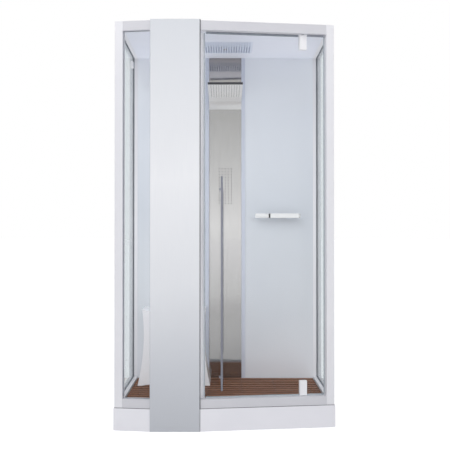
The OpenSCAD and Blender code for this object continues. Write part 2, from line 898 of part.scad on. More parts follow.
module body_jets() {
    half_x = (jet_cols - 1) / 2 * jet_pitch_x + jet_margin;
    half_z = (jet_rows - 1) / 2 * jet_pitch_z + jet_margin;
    y0 = y_steel + steel_t + pass_gap;
    color(grey) {
        box([-half_x, y0, jet_z - half_z], [half_x, y0 + jet_block_t, jet_z + half_z]);
        for (p = jet_spots()) rod_y([p[0], y_steel - jet_out, p[1]], jet_out + steel_t + cut, jet_r);
        rod_y([0, y0, jet_z], y_pipe - pipe_r - y0, jet_r * 2);
    }
}

// Straight pipes between the fittings, each a rod of its own
module water_pipes() {
    half = elbow / 2;
    z_top = rain_z - half;
    y_front = y_pipe - half;
    color(brass) {
        rod_y([mixer_x, y_mixer_back, mixer_z], y_front - y_mixer_back, pipe_r);
        translate([mixer_x, y_pipe, mixer_z + half])
            cylinder(r = pipe_r, h = diverter_z - mixer_z - elbow);
        rod_x([diverter_s / 2, y_pipe, diverter_z], mixer_x - half - diverter_s / 2, pipe_r);
        translate([0, y_pipe, diverter_z + diverter_s / 2])
            cylinder(r = pipe_r, h = over_feed_z - half - diverter_z - diverter_s / 2);
        translate([0, y_pipe, over_feed_z + half]) cylinder(r = pipe_r, h = z_top - over_feed_z - half);
        rod_y([0, y_steel, over_feed_z], y_front - y_steel, pipe_r);
        rod_y([0, rain_y + rain_d / 2 + rain_border - rain_box_wall, rain_z],
            y_front - rain_y - rain_d / 2 - rain_border + rain_box_wall, pipe_r);
    }
}

module pipe_fittings() {
    color(brass) {
        for (p = [[mixer_x, mixer_z], [mixer_x, diverter_z], [0, over_feed_z], [0, rain_z]])
            translate([p[0], y_pipe, p[1]]) cube(elbow, center = true);
        translate([0, y_pipe, diverter_z]) cube([diverter_s, elbow, diverter_s], center = true);
    }
}

// Mixer

module inlet_unions() {
    y_thread = y_back - waste_back - thread_len;
    color(chrome) for (s = [-1, 1]) difference() {
        union() {
            rod_y([mixer_x + s * inlet_pitch / 2, y_mixer_back, mixer_z], y_thread - y_mixer_back, union_r);
            rod_y([mixer_x + s * inlet_pitch / 2, y_thread, mixer_z], thread_len, thread_r);
            rod_y([mixer_x + s * inlet_pitch / 2, y_rear - ring_t, mixer_z], ring_t, ring_r);
        }
        rod_y([mixer_x + s * inlet_pitch / 2, y_rear, mixer_z], prof, inlet_bore_r);
    }
}

module mixer_body() {
    x_sleeve = mixer_x0 - sleeve_len;
    color(chrome) {
        box([mixer_x0, y_mixer_back - mixer_d, mixer_z - mixer_h / 2],
            [mixer_x1, y_mixer_back, mixer_z + mixer_h / 2]);
        rod_x([x_sleeve - spindle_len, y_mixer, mixer_z], mixer_x0 - x_sleeve + spindle_len, spindle_r);
        rod_x([mixer_x1, y_mixer, mixer_z], turn_gap + knob_bore, spindle_r);
    }
}

module mixer_sleeve() {
    color(black) difference() {
        rod_x([mixer_x0 - sleeve_len, y_mixer, mixer_z], sleeve_len, mixer_h / 2);
        rod_x([mixer_x0 - sleeve_len - cut, y_mixer, mixer_z], sleeve_len + 2 * cut, spindle_r);
    }
}

module flow_handle() {
    x1 = mixer_x0 - sleeve_len - turn_gap;
    color(chrome) difference() {
        box([x1 - flow_len, y_mixer - mixer_h / 2, mixer_z - mixer_h / 2],
            [x1, y_mixer + mixer_h / 2, mixer_z + mixer_h / 2]);
        rod_x([x1 - spindle_len, y_mixer, mixer_z], spindle_len + cut, spindle_r + pin_fit);
    }
}

module temperature_knob() {
    x0 = mixer_x1 + turn_gap;
    color(grey) difference() {
        rod_x([x0, y_mixer, mixer_z], knob_len, mixer_h / 2);
        rod_x([x0 - cut, y_mixer, mixer_z], knob_bore + cut + turn_gap, spindle_r + pin_fit);
    }
}

// Door, built along the right front section

// Glass sheet with its hinge notches
module door_sheet() {
    difference() {
        box([door_gap, door_n - door_t / 2, door_z0], [door_s1, door_n + door_t / 2, door_z1]);
        for (z = [hinge_z0, hinge_top_z - hinge_notch])
            box([pivot_s - hinge_web / 2, door_n - door_t, z], [pivot_s + hinge_web / 2, door_n + door_t,
                z + hinge_notch]);
    }
}

module door_glass() {
    color(clear) on_front(1) difference() {
        door_sheet();
        for (z = fixing_z) rod_y([door_gap + handle_inset, door_n - door_t, z], 2 * door_t,
            fixing_screw_r + pass_gap);
    }
}

module door_hinges() {
    color(white) on_front(1) difference() {
        for (z = [hinge_z0, hinge_top_z - hinge_h])
            box([pivot_s - hinge_w / 2, door_n - hinge_t / 2, z],
                [pivot_s + hinge_w / 2, door_n + hinge_t / 2, z + hinge_h]);
        door_sheet();
        for (z = [hinge_z0 - cut, hinge_top_z - bush_d])
            translate([pivot_s, door_n, z]) cylinder(r = pin_r, h = bush_d + cut);
    }
}

module pivot_pins() {
    reach = bush_d - hinge_run;
    color(steel) on_front(1) {
        translate([pivot_s, door_n, z_sill - reach]) cylinder(r = pin_r, h = hinge_z0 + bush_d - z_sill + reach);
        translate([pivot_s, door_n, hinge_top_z - bush_d])
            cylinder(r = pin_r, h = z_head + reach - hinge_top_z + bush_d);
    }
}

module pivot_bushes() {
    color(brass) on_front(1) difference() {
        union() {
            translate([pivot_s, door_n, z_sill - bush_d]) cylinder(r = bush_r, h = bush_d);
            translate([pivot_s, door_n, z_sill]) cylinder(r = bush_r + bush_flange_t, h = bush_flange_t);
            translate([pivot_s, door_n, z_head]) cylinder(r = bush_r, h = bush_d);
        }
        for (z = [z_sill - bush_d - cut, z_head - cut])
            translate([pivot_s, door_n, z]) cylinder(r = pin_r + pin_fit, h = bush_d + bush_flange_t + 2 * cut);
    }
}

module door_handle() {
    s0 = door_gap + handle_inset;
    color(chrome) on_front(1) {
        translate([s0, handle_n, handle_z + handle_r]) cylinder(r = handle_r, h = handle_len - 2 * handle_r);
        for (z = [handle_z + handle_r, handle_z + handle_len - handle_r])
            translate([s0, handle_n, z]) sphere(r = handle_r);
    }
}

module handle_fixings() {
    s0 = door_gap + handle_inset;
    n0 = door_n - door_t / 2;
    color(chrome) on_front(1) for (z = fixing_z) difference() {
        union() {
            rod_y([s0, handle_n, z], n0 - handle_n, fixing_r);
            rod_y([s0, n0, z], door_t, fixing_screw_r);
            rod_y([s0, n0 + door_t, z], fixing_cap_t, fixing_r);
        }
        translate([s0, handle_n, z - prof / 2]) cylinder(r = handle_r, h = prof);
    }
}

module door_seals() {
    z0 = z_sill + seal_gap;
    half = seal_t / 2;
    clear_s = hinge_w / 2 + seal_gap;
    color(rubber) on_front(1) {
        box([door_gap + seal_t * 2, door_n - half, z0], [pivot_s - clear_s, door_n + half, door_z0]);
        box([pivot_s + clear_s, door_n - half, z0], [door_s1, door_n + half, door_z0]);
        box([door_gap, door_n + door_t / 2, door_z0], [door_gap + seal_t, jamb_n - seal_gap, door_z1]);
        box([door_s1, door_n - half, door_z0], [run_len(1) - seal_gap, door_n + half, door_z1]);
    }
}

// Stop strips under the header: behind the leaf, and in front of the tail
module door_stops() {
    inside = door_n + door_t / 2 + seal_gap;
    outside = door_n - door_t / 2 - seal_gap - seal_t;
    clear_s = hinge_w / 2 + seal_t;
    color(rubber) on_front(1) {
        box([door_gap + jamb_lap + seal_t, inside, z_head - stop_h], [pivot_s - clear_s, inside + seal_t, z_head]);
        box([pivot_s + clear_s, outside, z_head - stop_h], [door_s1, outside + seal_t, z_head]);
    }
}

// Stool

// Stool's outer form, taken in by g on every face but the bottom
module stool_form(g) {
    $fn = 360;
    half = stool_waist;
    difference() {
        box([-half, -half, -cut * sign(g)], [half, half, stool_h - g]);
        for (s = [-1, 1]) {
            rod_y([s * (stool_waist / 2 + stool_side_r), -2 * half, stool_waist_z], 4 * half, stool_side_r + g);
            rod_x([-2 * half, s * (stool_waist_d / 2 + stool_front_r), stool_side_z], 4 * half,
                stool_front_r + g);
        }
        rod_y([0, -2 * half, stool_h - seat_sag + seat_r], 4 * half, seat_r + g);
    }
}

module stool() {
    color(white) translate([stool_x, stool_y, z_deck]) difference() {
        stool_form(0);
        stool_form(stool_wall);
        rod_y([0, -stool_h, stool_arch - arch_r], 2 * stool_h, arch_r, $fn = 360);
    }
}

shower_tray();
front_skirts();
side_skirts();
levelling_feet();
drain_trap();
drain_cover();
waste_pipe();
deck_bearers();
deck_slats();
front_posts();
rear_posts();
sill_front_left();
sill_front_right();
side_sills();
sill_rear();
header_front_left();
header_front_right();
side_headers();
header_rear();
rear_mullions();
ceiling_panel();
rain_head();
rain_water_box();
column_panel();
column_posts();
column_header();
column_housing();
strike_jamb();
steam_generator();
steam_outlet();
control_unit();
front_left_glass();
left_glass();
right_glass();
glazing_gaskets();
pane_clip();
rear_wall_left();
rear_wall_right();
column_trims();
steel_column();
rear_access_cover();
overhead_shower();
nozzle_plate();
body_jets();
water_pipes();
pipe_fittings();
inlet_unions();
mixer_body();
mixer_sleeve();
flow_handle();
temperature_knob();
door_glass();
door_hinges();
pivot_pins();
pivot_bushes();
door_handle();
handle_fixings();
door_seals();
door_stops();
stool();
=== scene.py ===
import math

import bmesh
import bpy
from mathutils import Matrix, Vector


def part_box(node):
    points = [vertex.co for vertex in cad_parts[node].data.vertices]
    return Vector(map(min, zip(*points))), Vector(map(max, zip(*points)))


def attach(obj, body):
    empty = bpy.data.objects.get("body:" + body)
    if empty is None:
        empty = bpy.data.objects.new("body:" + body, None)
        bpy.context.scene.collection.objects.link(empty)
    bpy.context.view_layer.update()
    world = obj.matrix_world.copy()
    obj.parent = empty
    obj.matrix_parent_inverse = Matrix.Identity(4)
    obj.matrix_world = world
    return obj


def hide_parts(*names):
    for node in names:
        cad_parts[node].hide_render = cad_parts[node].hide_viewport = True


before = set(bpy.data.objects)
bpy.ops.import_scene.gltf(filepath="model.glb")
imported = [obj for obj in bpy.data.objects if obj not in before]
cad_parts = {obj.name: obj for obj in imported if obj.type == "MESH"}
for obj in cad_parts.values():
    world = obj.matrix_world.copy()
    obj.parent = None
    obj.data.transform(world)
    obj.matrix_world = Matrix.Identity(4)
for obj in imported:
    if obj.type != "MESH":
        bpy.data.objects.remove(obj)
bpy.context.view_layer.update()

MM = 0.001
SLAT_PITCH = 60 * MM
SLAT_REAR = 340 * MM
ROOM_TOP = 2.2
# Most that two triangles of one flat face may be turned apart
FLAT = math.radians(0.3)


# Modelling helpers

def only(obj):
    """Leaves this object as the one that is selected and active."""
    bpy.ops.object.select_all(action="DESELECT")
    obj.select_set(True)
    bpy.context.view_layer.objects.active = obj


def settle(obj):
    """Puts the object's place, turn and size into its mesh."""
    only(obj)
    bpy.ops.object.transform_apply(location=True, rotation=True, scale=True)


def apply(obj, kind, **values):
    """Adds a modifier and applies it."""
    only(obj)
    mod = obj.modifiers.new(kind.lower(), kind)
    for name, value in values.items():
        setattr(mod, name, value)
    bpy.ops.object.modifier_apply(modifier=mod.name)


def soften(obj, width, segments=2, limit=30.0):
    """Rounds the sharp edges and keeps the flat faces flat in the shading."""
    apply(obj, "BEVEL", width=width, segments=segments, limit_method="ANGLE",
          angle_limit=math.radians(limit), use_clamp_overlap=True, miter_outer="MITER_ARC")
    only(obj)
    bpy.ops.object.shade_smooth_by_angle(angle=math.radians(50))
    apply(obj, "WEIGHTED_NORMAL", weight=100, keep_sharp=True)


def node_copy(node, name, whole_faces=False):
    """A merged copy of a node, its flat faces as quads or, for later work on them, whole."""
    obj = bpy.data.objects.new(name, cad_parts[node].data.copy())
    bpy.context.scene.collection.objects.link(obj)
    obj.data.materials.clear()
    only(obj)
    bpy.ops.object.mode_set(mode="EDIT")
    bpy.ops.mesh.select_mode(type="VERT")
    bpy.ops.mesh.select_all(action="SELECT")
    bpy.ops.mesh.remove_doubles(threshold=0.00001)
    if whole_faces:
        bpy.ops.mesh.dissolve_limited(angle_limit=FLAT)
    else:
        bpy.ops.mesh.tris_convert_to_quads(face_threshold=FLAT, shape_threshold=math.pi)
    bpy.ops.object.mode_set(mode="OBJECT")
    return obj


def finish(obj, body, slot, *materials, nodes=()):
    """Gives a piece its finish, the body it rides on and the nodes it stands for."""
    obj.data.name = obj.name
    for mat in materials:
        obj.data.materials.append(mat)
    if nodes:
        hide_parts(*nodes)
    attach(obj, body)
    return obj


# Material helpers

class Finish:
    """A node material under construction. Its patterns read Object coordinates."""

    def __init__(self, name):
        self.mat = bpy.data.materials.new(name)
        self.mat.use_nodes = True
        self.tree = self.mat.node_tree
        self.tree.nodes.clear()
        self.out = self.add("ShaderNodeOutputMaterial")
        self.place = self.add("ShaderNodeTexCoord").outputs["Object"]

    def add(self, kind, sockets=None, **props):
        n = self.tree.nodes.new(kind)
        for name, value in props.items():
            setattr(n, name, value)
        for name, value in (sockets or {}).items():
            self.put(n.inputs[name], value)
        return n

    def put(self, socket, value):
        if isinstance(value, bpy.types.NodeSocket):
            self.tree.links.new(value, socket)
        else:
            socket.default_value = value

    def stretch(self, x, y, z, shift=(0, 0, 0)):
        """The place of a point with each axis stretched, for streaks and grain."""
        n = self.add("ShaderNodeMapping", {"Vector": self.place, "Location": shift, "Scale": (x, y, z)})
        return n.outputs["Vector"]

    def noise(self, scale, detail=3.0, rough=0.5, place=None):
        n = self.add("ShaderNodeTexNoise", {"Vector": place or self.place, "Scale": scale,
                                            "Detail": detail, "Roughness": rough})
        return n.outputs["Fac"]

    def spread(self, value, low, high, frm=(0.3, 0.7)):
        """A value mapped to a range, such as a noise to a roughness."""
        n = self.add("ShaderNodeMapRange", {"Value": value, "From Min": frm[0], "From Max": frm[1],
                                            "To Min": low, "To Max": high})
        return n.outputs["Result"]

    def math(self, op, a, b=0.0):
        n = self.add("ShaderNodeMath", operation=op)
        self.put(n.inputs[0], a)
        self.put(n.inputs[1], b)
        return n.outputs[0]

    def blend(self, fac, a, b, mode="MIX"):
        n = self.add("ShaderNodeMix", data_type="RGBA", blend_type=mode)
        self.put(n.inputs["Factor"], fac)
        self.put(n.inputs[6], a)
        self.put(n.inputs[7], b)
        return n.outputs[2]

    def edges(self, radius, low=0.02, high=0.25):
        """How near a point is to a sharp edge, for wear: the rounded normal against the true one."""
        soft = self.add("ShaderNodeBevel", {"Radius": radius}, samples=4).outputs["Normal"]
        true = self.add("ShaderNodeNewGeometry").outputs["Normal"]
        dot = self.add("ShaderNodeVectorMath", {0: soft, 1: true}, operation="DOT_PRODUCT")
        return self.spread(self.math("SUBTRACT", 1.0, dot.outputs["Value"]), 0.0, 1.0, (low, high))

    def bump(self, height, strength, distance):
        n = self.add("ShaderNodeBump", {"Height": height, "Strength": strength, "Distance": distance})
        return n.outputs["Normal"]

    def solid(self, **sockets):
        """The shader of an opaque finish. Underscores stand for the spaces in the socket names."""
        n = self.add("ShaderNodeBsdfPrincipled", {k.replace("_", " "): v for k, v in sockets.items()})
        self.put(self.out.inputs["Surface"], n.outputs["BSDF"])
        return self.mat


def rgb(r, g, b):
    """A colour as it is written in a picture, 0 to 255, made linear."""
    channels = [c / 255 / 12.92 if c <= 10 else ((c / 255 + 0.055) / 1.055) ** 2.4 for c in (r, g, b)]
    return tuple(channels) + (1.0,)


# Finishes

def lacquer(name, colour, shade, rough, coat=0.0, grain=900.0, peel=0.00006, worn=None):
    """White powder coat, acrylic or moulded plastic: faint clouds, fine texture and softer edges."""
    f = Finish(name)
    clouds = f.spread(f.noise(2.2, 4.0, 0.6), 0.0, 1.0)
    tone = f.blend(clouds, colour, shade)
    wear = f.edges(0.0012)
    tone = f.blend(f.math("MULTIPLY", wear, 0.35), tone, worn or shade)
    fine = f.noise(grain, 2.0, 0.5)
    smear = f.noise(14.0, 4.0, 0.6)
    gloss = f.spread(f.math("ADD", f.math("MULTIPLY", smear, 0.8), f.math("MULTIPLY", fine, 0.2)),
                     rough * 0.8, rough * 1.25)
    return f.solid(Base_Color=tone, Roughness=gloss, Coat_Weight=coat, Coat_Roughness=0.06,
                   Normal=f.bump(fine, 0.35, peel))


def metal(name, colour, shade, rough, streak=(1, 1, 1), scale=260.0, depth=0.00002):
    """Polished or brushed metal, with streaks, smears and brighter worn edges."""
    f = Finish(name)
    lines = f.noise(scale, 3.0, 0.55, f.stretch(*streak))
    smear = f.noise(9.0, 4.0, 0.6)
    tone = f.blend(f.spread(f.math("ADD", f.math("MULTIPLY", lines, 0.6), f.math("MULTIPLY", smear, 0.4)),
                            0.0, 1.0), shade, colour)
    wear = f.edges(0.0010)
    tone = f.blend(f.math("MULTIPLY", wear, 0.5), tone, rgb(238, 238, 236))
    gloss = f.spread(f.math("ADD", f.math("MULTIPLY", smear, 0.6), f.math("MULTIPLY", lines, 0.4)),
                     rough * 0.75, rough * 1.35)
    return f.solid(Base_Color=tone, Metallic=1.0, Roughness=gloss, Normal=f.bump(lines, 0.4, depth))


def painted_light_by_height(f, stops, top, sway=0.2):
    """Painted light and shade: a colour by height above the floor, from stops of (height in metres, colour),
    with cloudy borders.
    """
    height = f.add("ShaderNodeSeparateXYZ", {"Vector": f.place}).outputs["Z"]
    clouds = f.noise(1.6, 3.0, 0.5, f.stretch(1.4, 1.0, 0.8))
    up = f.math("ADD", height, f.math("MULTIPLY", f.math("SUBTRACT", clouds, 0.5), sway))
    ramp = f.add("ShaderNodeValToRGB", {"Fac": f.spread(up, 0.0, 1.0, (0.0, top))})
    marks = ramp.color_ramp.elements
    marks[0].position, marks[0].color = stops[0][0] / top, stops[0][1]
    marks[1].position, marks[1].color = stops[-1][0] / top, stops[-1][1]
    for level, colour in stops[1:-1]:
        marks.new(level / top).color = colour
    return ramp.outputs["Color"]


def mirror_sheet():
    """Polished steel sheet with painted shade at its foot and under the roof, a painted reflection brightest
    between, and fine upright polishing lines.
    """
    f = Finish("mirror_steel_sheet")
    # Painted shade at the foot and under the roof, painted reflection brightest at 1.1 m
    stops = [(0.10, rgb(197, 194, 193)), (0.55, rgb(191, 188, 187)), (1.10, rgb(233, 229, 229)),
             (1.80, rgb(216, 213, 212)), (2.00, rgb(211, 207, 205)), (2.15, rgb(150, 145, 145))]
    tone = painted_light_by_height(f, stops, ROOM_TOP, 0.1)
    lines = f.noise(420.0, 2.0, 0.5, f.stretch(1.0, 1.0, 0.02))
    smear = f.noise(7.0, 4.0, 0.6)
    tone = f.blend(f.spread(lines, 0.0, 0.10), tone, rgb(120, 118, 118))
    wear = f.edges(0.0010)
    tone = f.blend(f.math("MULTIPLY", wear, 0.5), tone, rgb(232, 232, 232))
    return f.solid(Base_Color=tone, Metallic=1.0, Roughness=f.spread(smear, 0.03, 0.07),
                   Normal=f.bump(lines, 0.2, 0.000002))


def satin(name, colour, shade, rough, metallic=0.35, grain=700.0, streak=(1, 1, 1)):
    """Bead-blasted or satin metal that reads pale from every side."""
    f = Finish(name)
    fine = f.noise(grain, 2.0, 0.5, f.stretch(*streak))
    smear = f.noise(11.0, 4.0, 0.6)
    tone = f.blend(f.spread(f.math("ADD", f.math("MULTIPLY", fine, 0.4), f.math("MULTIPLY", smear, 0.6)),
                            0.0, 1.0), shade, colour)
    wear = f.edges(0.0008)
    tone = f.blend(f.math("MULTIPLY", wear, 0.5), tone, rgb(240, 240, 242))
    return f.solid(Base_Color=tone, Metallic=metallic, Roughness=f.spread(smear, rough * 0.8, rough * 1.25),
                   Normal=f.bump(fine, 0.3, 0.00001))


def wall_sheet():
    """Pale blue-grey gloss sheet of the rear wall, with painted light and shade by height: darkest in the
    middle, lighter at foot and top.
    """
    f = Finish("wall_sheet")
    clouds = f.spread(f.noise(1.3, 3.0, 0.5), 0.0, 1.0)
    # Painted light and shade by height, not a tint of the sheet
    pale = painted_light_by_height(f, [(0.15, rgb(234, 235, 240)), (0.55, rgb(218, 222, 227)), (1.20, rgb(210, 215, 222)),
                           (1.75, rgb(230, 234, 241)), (2.15, rgb(245, 248, 253))], ROOM_TOP, 0.1)
    tone = f.blend(f.math("MULTIPLY", clouds, 0.35), pale, rgb(206, 212, 224))
    wear = f.edges(0.0015)
    tone = f.blend(f.math("MULTIPLY", wear, 0.4), tone, rgb(196, 214, 224))
    smear = f.noise(5.0, 5.0, 0.6)
    ripple = f.noise(24.0, 2.0, 0.5)
    return f.solid(Base_Color=tone, Roughness=f.spread(smear, 0.10, 0.22), Specular_IOR_Level=0.6,
                   Coat_Weight=0.35, Coat_Roughness=0.08, Normal=f.bump(ripple, 0.12, 0.0002))


def panel_sheet():
    """Satin silver-white sheet of the front panel, with painted shade towards its foot and top and painted
    light brightest at mid-height.
    """
    f = Finish("panel_sheet")
    # Painted shade at the foot and top, painted light brightest at mid-height
    tone = painted_light_by_height(f, [(0.0, rgb(194, 197, 203)), (0.30, rgb(203, 206, 212)), (0.75, rgb(229, 231, 235)),
                           (1.36, rgb(240, 241, 244)), (2.20, rgb(214, 217, 222))], ROOM_TOP, 0.25)
    brushed = f.noise(340.0, 2.0, 0.5, f.stretch(1.0, 1.0, 0.02))
    tone = f.blend(f.spread(brushed, 0.0, 0.12), tone, rgb(205, 210, 218))
    wear = f.edges(0.0015)
    tone = f.blend(f.math("MULTIPLY", wear, 0.6), tone, rgb(150, 155, 168))
    smear = f.noise(6.0, 4.0, 0.6)
    ripple = f.noise(24.0, 2.0, 0.5)
    return f.solid(Base_Color=tone, Metallic=0.15, Roughness=f.spread(smear, 0.30, 0.40),
                   Normal=f.bump(ripple, 0.12, 0.0001))


def teak_boards():
    """Teak: each board has its own tone, with grain that runs along it, and painted shade on the board sides.
    """
    f = Finish("teak_boards")
    parts = f.add("ShaderNodeSeparateXYZ", {"Vector": f.place})
    row = f.math("FLOOR", f.math("DIVIDE", f.math("SUBTRACT", parts.outputs["Y"], SLAT_REAR), SLAT_PITCH))
    own = f.add("ShaderNodeTexWhiteNoise", {"W": row}, noise_dimensions="1D").outputs["Value"]
    shift = f.add("ShaderNodeCombineXYZ", {"X": f.math("MULTIPLY", own, 7.0),
                                           "Z": f.math("MULTIPLY", own, 3.0)})
    added = f.add("ShaderNodeVectorMath", {0: f.place, 1: shift.outputs["Vector"]}, operation="ADD")
    moved = added.outputs[0]
    along = f.add("ShaderNodeMapping", {"Vector": moved, "Scale": (0.55, 9.0, 9.0)}).outputs["Vector"]
    rings = f.noise(9.0, 5.0, 0.62, along)
    pores = f.noise(240.0, 2.0, 0.5, f.add("ShaderNodeMapping", {"Vector": moved, "Scale": (0.05, 1.0, 1.0)})
                    .outputs["Vector"])
    tone = f.add("ShaderNodeValToRGB", {"Fac": f.spread(rings, 0.0, 1.0)})
    marks = tone.color_ramp.elements
    marks[0].position, marks[0].color = 0.0, rgb(120, 80, 57)
    marks[1].position, marks[1].color = 1.0, rgb(171, 123, 93)
    marks.new(0.5).color = rgb(145, 99, 73)
    board = f.blend(f.spread(own, 0.0, 0.35, (0.0, 1.0)), tone.outputs["Color"], rgb(114, 76, 56))
    board = f.blend(f.spread(pores, 0.0, 0.35, (0.45, 0.75)), board, rgb(86, 56, 43))
    wear = f.edges(0.002)
    board = f.blend(f.math("MULTIPLY", wear, 0.3), board, rgb(160, 132, 116))
    # Painted shade: faces that do not face up, the board sides in the gaps, are darkened almost to black
    facing = f.add("ShaderNodeSeparateXYZ", {"Vector": f.add("ShaderNodeNewGeometry").outputs["Normal"]})
    side = f.spread(facing.outputs["Z"], 1.0, 0.0, (0.45, 0.95))
    board = f.blend(f.math("MULTIPLY", side, 0.97), board, rgb(18, 12, 10))
    grain = f.math("ADD", f.math("MULTIPLY", rings, 0.5), f.math("MULTIPLY", pores, 0.5))
    return f.solid(Base_Color=board, Roughness=f.spread(pores, 0.50, 0.70), Specular_IOR_Level=0.2,
                   Normal=f.bump(grain, 0.5, 0.0006))


def glass_sheet(name, tint, mirror=1.0):
    """Clear flat glass that lets light straight through, with the sheen of its surface."""
    f = Finish(name)
    haze = f.noise(4.0, 4.0, 0.6)
    path = f.add("ShaderNodeLightPath")
    lamp = f.math("MAXIMUM", path.outputs["Is Shadow Ray"], path.outputs["Is Diffuse Ray"])
    through = f.add("ShaderNodeBsdfTransparent", {"Color": f.blend(lamp, tint, (1.0, 1.0, 1.0, 1.0))})
    sheen = f.add("ShaderNodeBsdfGlossy", {"Color": (1.0, 1.0, 1.0, 1.0),
                                           "Roughness": f.spread(haze, 0.002, 0.015),
                                           "Normal": f.bump(haze, 0.05, 0.00008)})
    rim = f.add("ShaderNodeFresnel", {"IOR": 1.45})
    share = f.math("MULTIPLY", f.math("MULTIPLY", rim.outputs["Fac"], mirror), f.math("SUBTRACT", 1.0, lamp))
    mix = f.add("ShaderNodeMixShader", {"Fac": share})
    f.put(mix.inputs[1], through.outputs["BSDF"])
    f.put(mix.inputs[2], sheen.outputs["BSDF"])
    f.put(f.out.inputs["Surface"], mix.outputs["Shader"])
    return f.mat


def glass_edge():
    """The cut edge of a sheet of glass: deep blue-green and only a little see-through."""
    f = Finish("glass_edge")
    depth = f.noise(40.0, 3.0, 0.5)
    tone = f.blend(f.spread(depth, 0.0, 1.0), rgb(150, 166, 170), rgb(182, 194, 197))
    return f.solid(Base_Color=tone, Roughness=f.spread(depth, 0.08, 0.16), Coat_Weight=0.5,
                   Alpha=0.85, Normal=f.bump(depth, 0.1, 0.0002))


def rubber(name, colour, shade, rough=0.5, alpha=1.0):
    """Soft seal: dull, with a fine drawn texture along it."""
    f = Finish(name)
    drawn = f.noise(500.0, 2.0, 0.5, f.stretch(1.0, 1.0, 0.05))
    dust = f.noise(20.0, 4.0, 0.6)
    tone = f.blend(f.spread(dust, 0.0, 1.0), colour, shade)
    return f.solid(Base_Color=tone, Roughness=f.spread(dust, rough * 0.85, rough * 1.2), Alpha=alpha,
                   Normal=f.bump(drawn, 0.3, 0.00005))


FRAME_WHITE = lacquer("frame_white_coat", rgb(231, 231, 235), rgb(225, 225, 230), 0.38,
                      worn=rgb(212, 212, 220))
BASE_WHITE = lacquer("base_white_acrylic", rgb(236, 236, 241), rgb(230, 230, 236), 0.20, coat=0.3,
                     grain=500.0, peel=0.00003, worn=rgb(220, 220, 228))
# Darker copy of the frame white for the front sills and headers: painted shade
RAIL_WHITE_SHADED = lacquer("rail_white_coat", rgb(210, 210, 215), rgb(204, 204, 210), 0.38, worn=rgb(224, 224, 229))
# Lighter copy of the frame white for the strike jamb: painted light that lifts its shade beside the panel and
# door
JAMB_WHITE_LIT = lacquer("jamb_white_coat", rgb(249, 249, 252), rgb(244, 244, 248), 0.38, worn=rgb(230, 230, 238))
CEILING_WHITE = lacquer("ceiling_white_sheet", rgb(231, 233, 243), rgb(224, 227, 238), 0.38, grain=300.0)
STOOL_WHITE = lacquer("stool_white_plastic", rgb(250, 250, 253), rgb(244, 244, 249), 0.20, coat=0.25,
                      grain=700.0, worn=rgb(252, 252, 253))
PLASTIC_WHITE = lacquer("white_moulding", rgb(240, 240, 242), rgb(232, 232, 236), 0.38, grain=1200.0)
PLASTIC_GREY = lacquer("grey_moulding", rgb(150, 153, 158), rgb(134, 137, 143), 0.42, grain=1200.0)
PLASTIC_BLACK = lacquer("black_moulding", rgb(38, 38, 42), rgb(28, 28, 32), 0.40, grain=1200.0,
                        worn=rgb(70, 70, 76))
WALL_SHEET = wall_sheet()
PANEL_SHEET = panel_sheet()
STEEL_MIRROR = mirror_sheet()
STEEL = metal("brushed_steel", rgb(196, 196, 196), rgb(172, 172, 173), 0.19, (1, 1, 0.05))
BAR_STEEL = metal("handle_bar_steel", rgb(165, 167, 178), rgb(148, 150, 162), 0.19, (1, 1, 0.05))
CHROME = metal("polished_chrome", rgb(222, 223, 226), rgb(208, 210, 214), 0.08, scale=120.0, depth=0.00001)
MIXER_CHROME = satin("mixer_chrome", rgb(250, 250, 251), rgb(242, 242, 244), 0.14, 0.55, 60.0)
DARK_CHROME = metal("dark_chrome", rgb(128, 130, 146), rgb(110, 112, 128), 0.16, scale=120.0, depth=0.00001)
SLAB_STEEL = satin("slab_steel", rgb(228, 227, 226), rgb(216, 215, 215), 0.38, 0.4, 420.0, (1, 0.05, 1))
# Dark steel for the slab's front faces: painted shade along its front edge
SLAB_FRONT_SHADE = metal("slab_edge_steel", rgb(98, 98, 102), rgb(84, 84, 88), 0.40, (0.05, 1, 1))
PLATE_STEEL = satin("nozzle_plate_steel", rgb(224, 223, 222), rgb(216, 215, 214), 0.38, 0.1, 500.0,
                    (1, 0.05, 1))
RAIN_STEEL = satin("rain_head_steel", rgb(220, 225, 238), rgb(208, 214, 228), 0.38, 0.1, 420.0,
                   (1, 0.05, 1))
RAIN_BOX = lacquer("rain_box_moulding", rgb(216, 222, 234), rgb(206, 212, 226), 0.38)
TRIM_SILVER = satin("trim_silver", rgb(216, 221, 234), rgb(204, 209, 223), 0.38, 0.30, 420.0, (1, 1, 0.05))
BRASS = metal("brass_tube", rgb(196, 158, 92), rgb(164, 124, 66), 0.19, (1, 0.05, 1))
TEAK = teak_boards()
GLASS = glass_sheet("clear_sheet", (0.980, 0.988, 0.988, 1.0), 0.28)
SIDE_GLASS = glass_sheet("side_sheet", (0.90, 0.92, 0.925, 1.0), 0.28)
GLASS_EDGE = glass_edge()
SEAL_GREY = rubber("seal_grey_rubber", rgb(158, 162, 172), rgb(136, 140, 150))
SEAL_CLEAR = rubber("seal_clear_strip", rgb(206, 214, 220), rgb(186, 196, 204), 0.36, alpha=0.55)
# Dark rubber as painted shade of gaps: beside the front panel and along the front sills
SHADE_RUBBER = rubber("seal_dark_rubber", rgb(74, 72, 80), rgb(56, 55, 62), 0.6)
NOZZLE_DARK = rubber("nozzle_rubber", rgb(38, 38, 40), rgb(26, 26, 28), 0.55)


# Pieces taken from the solids

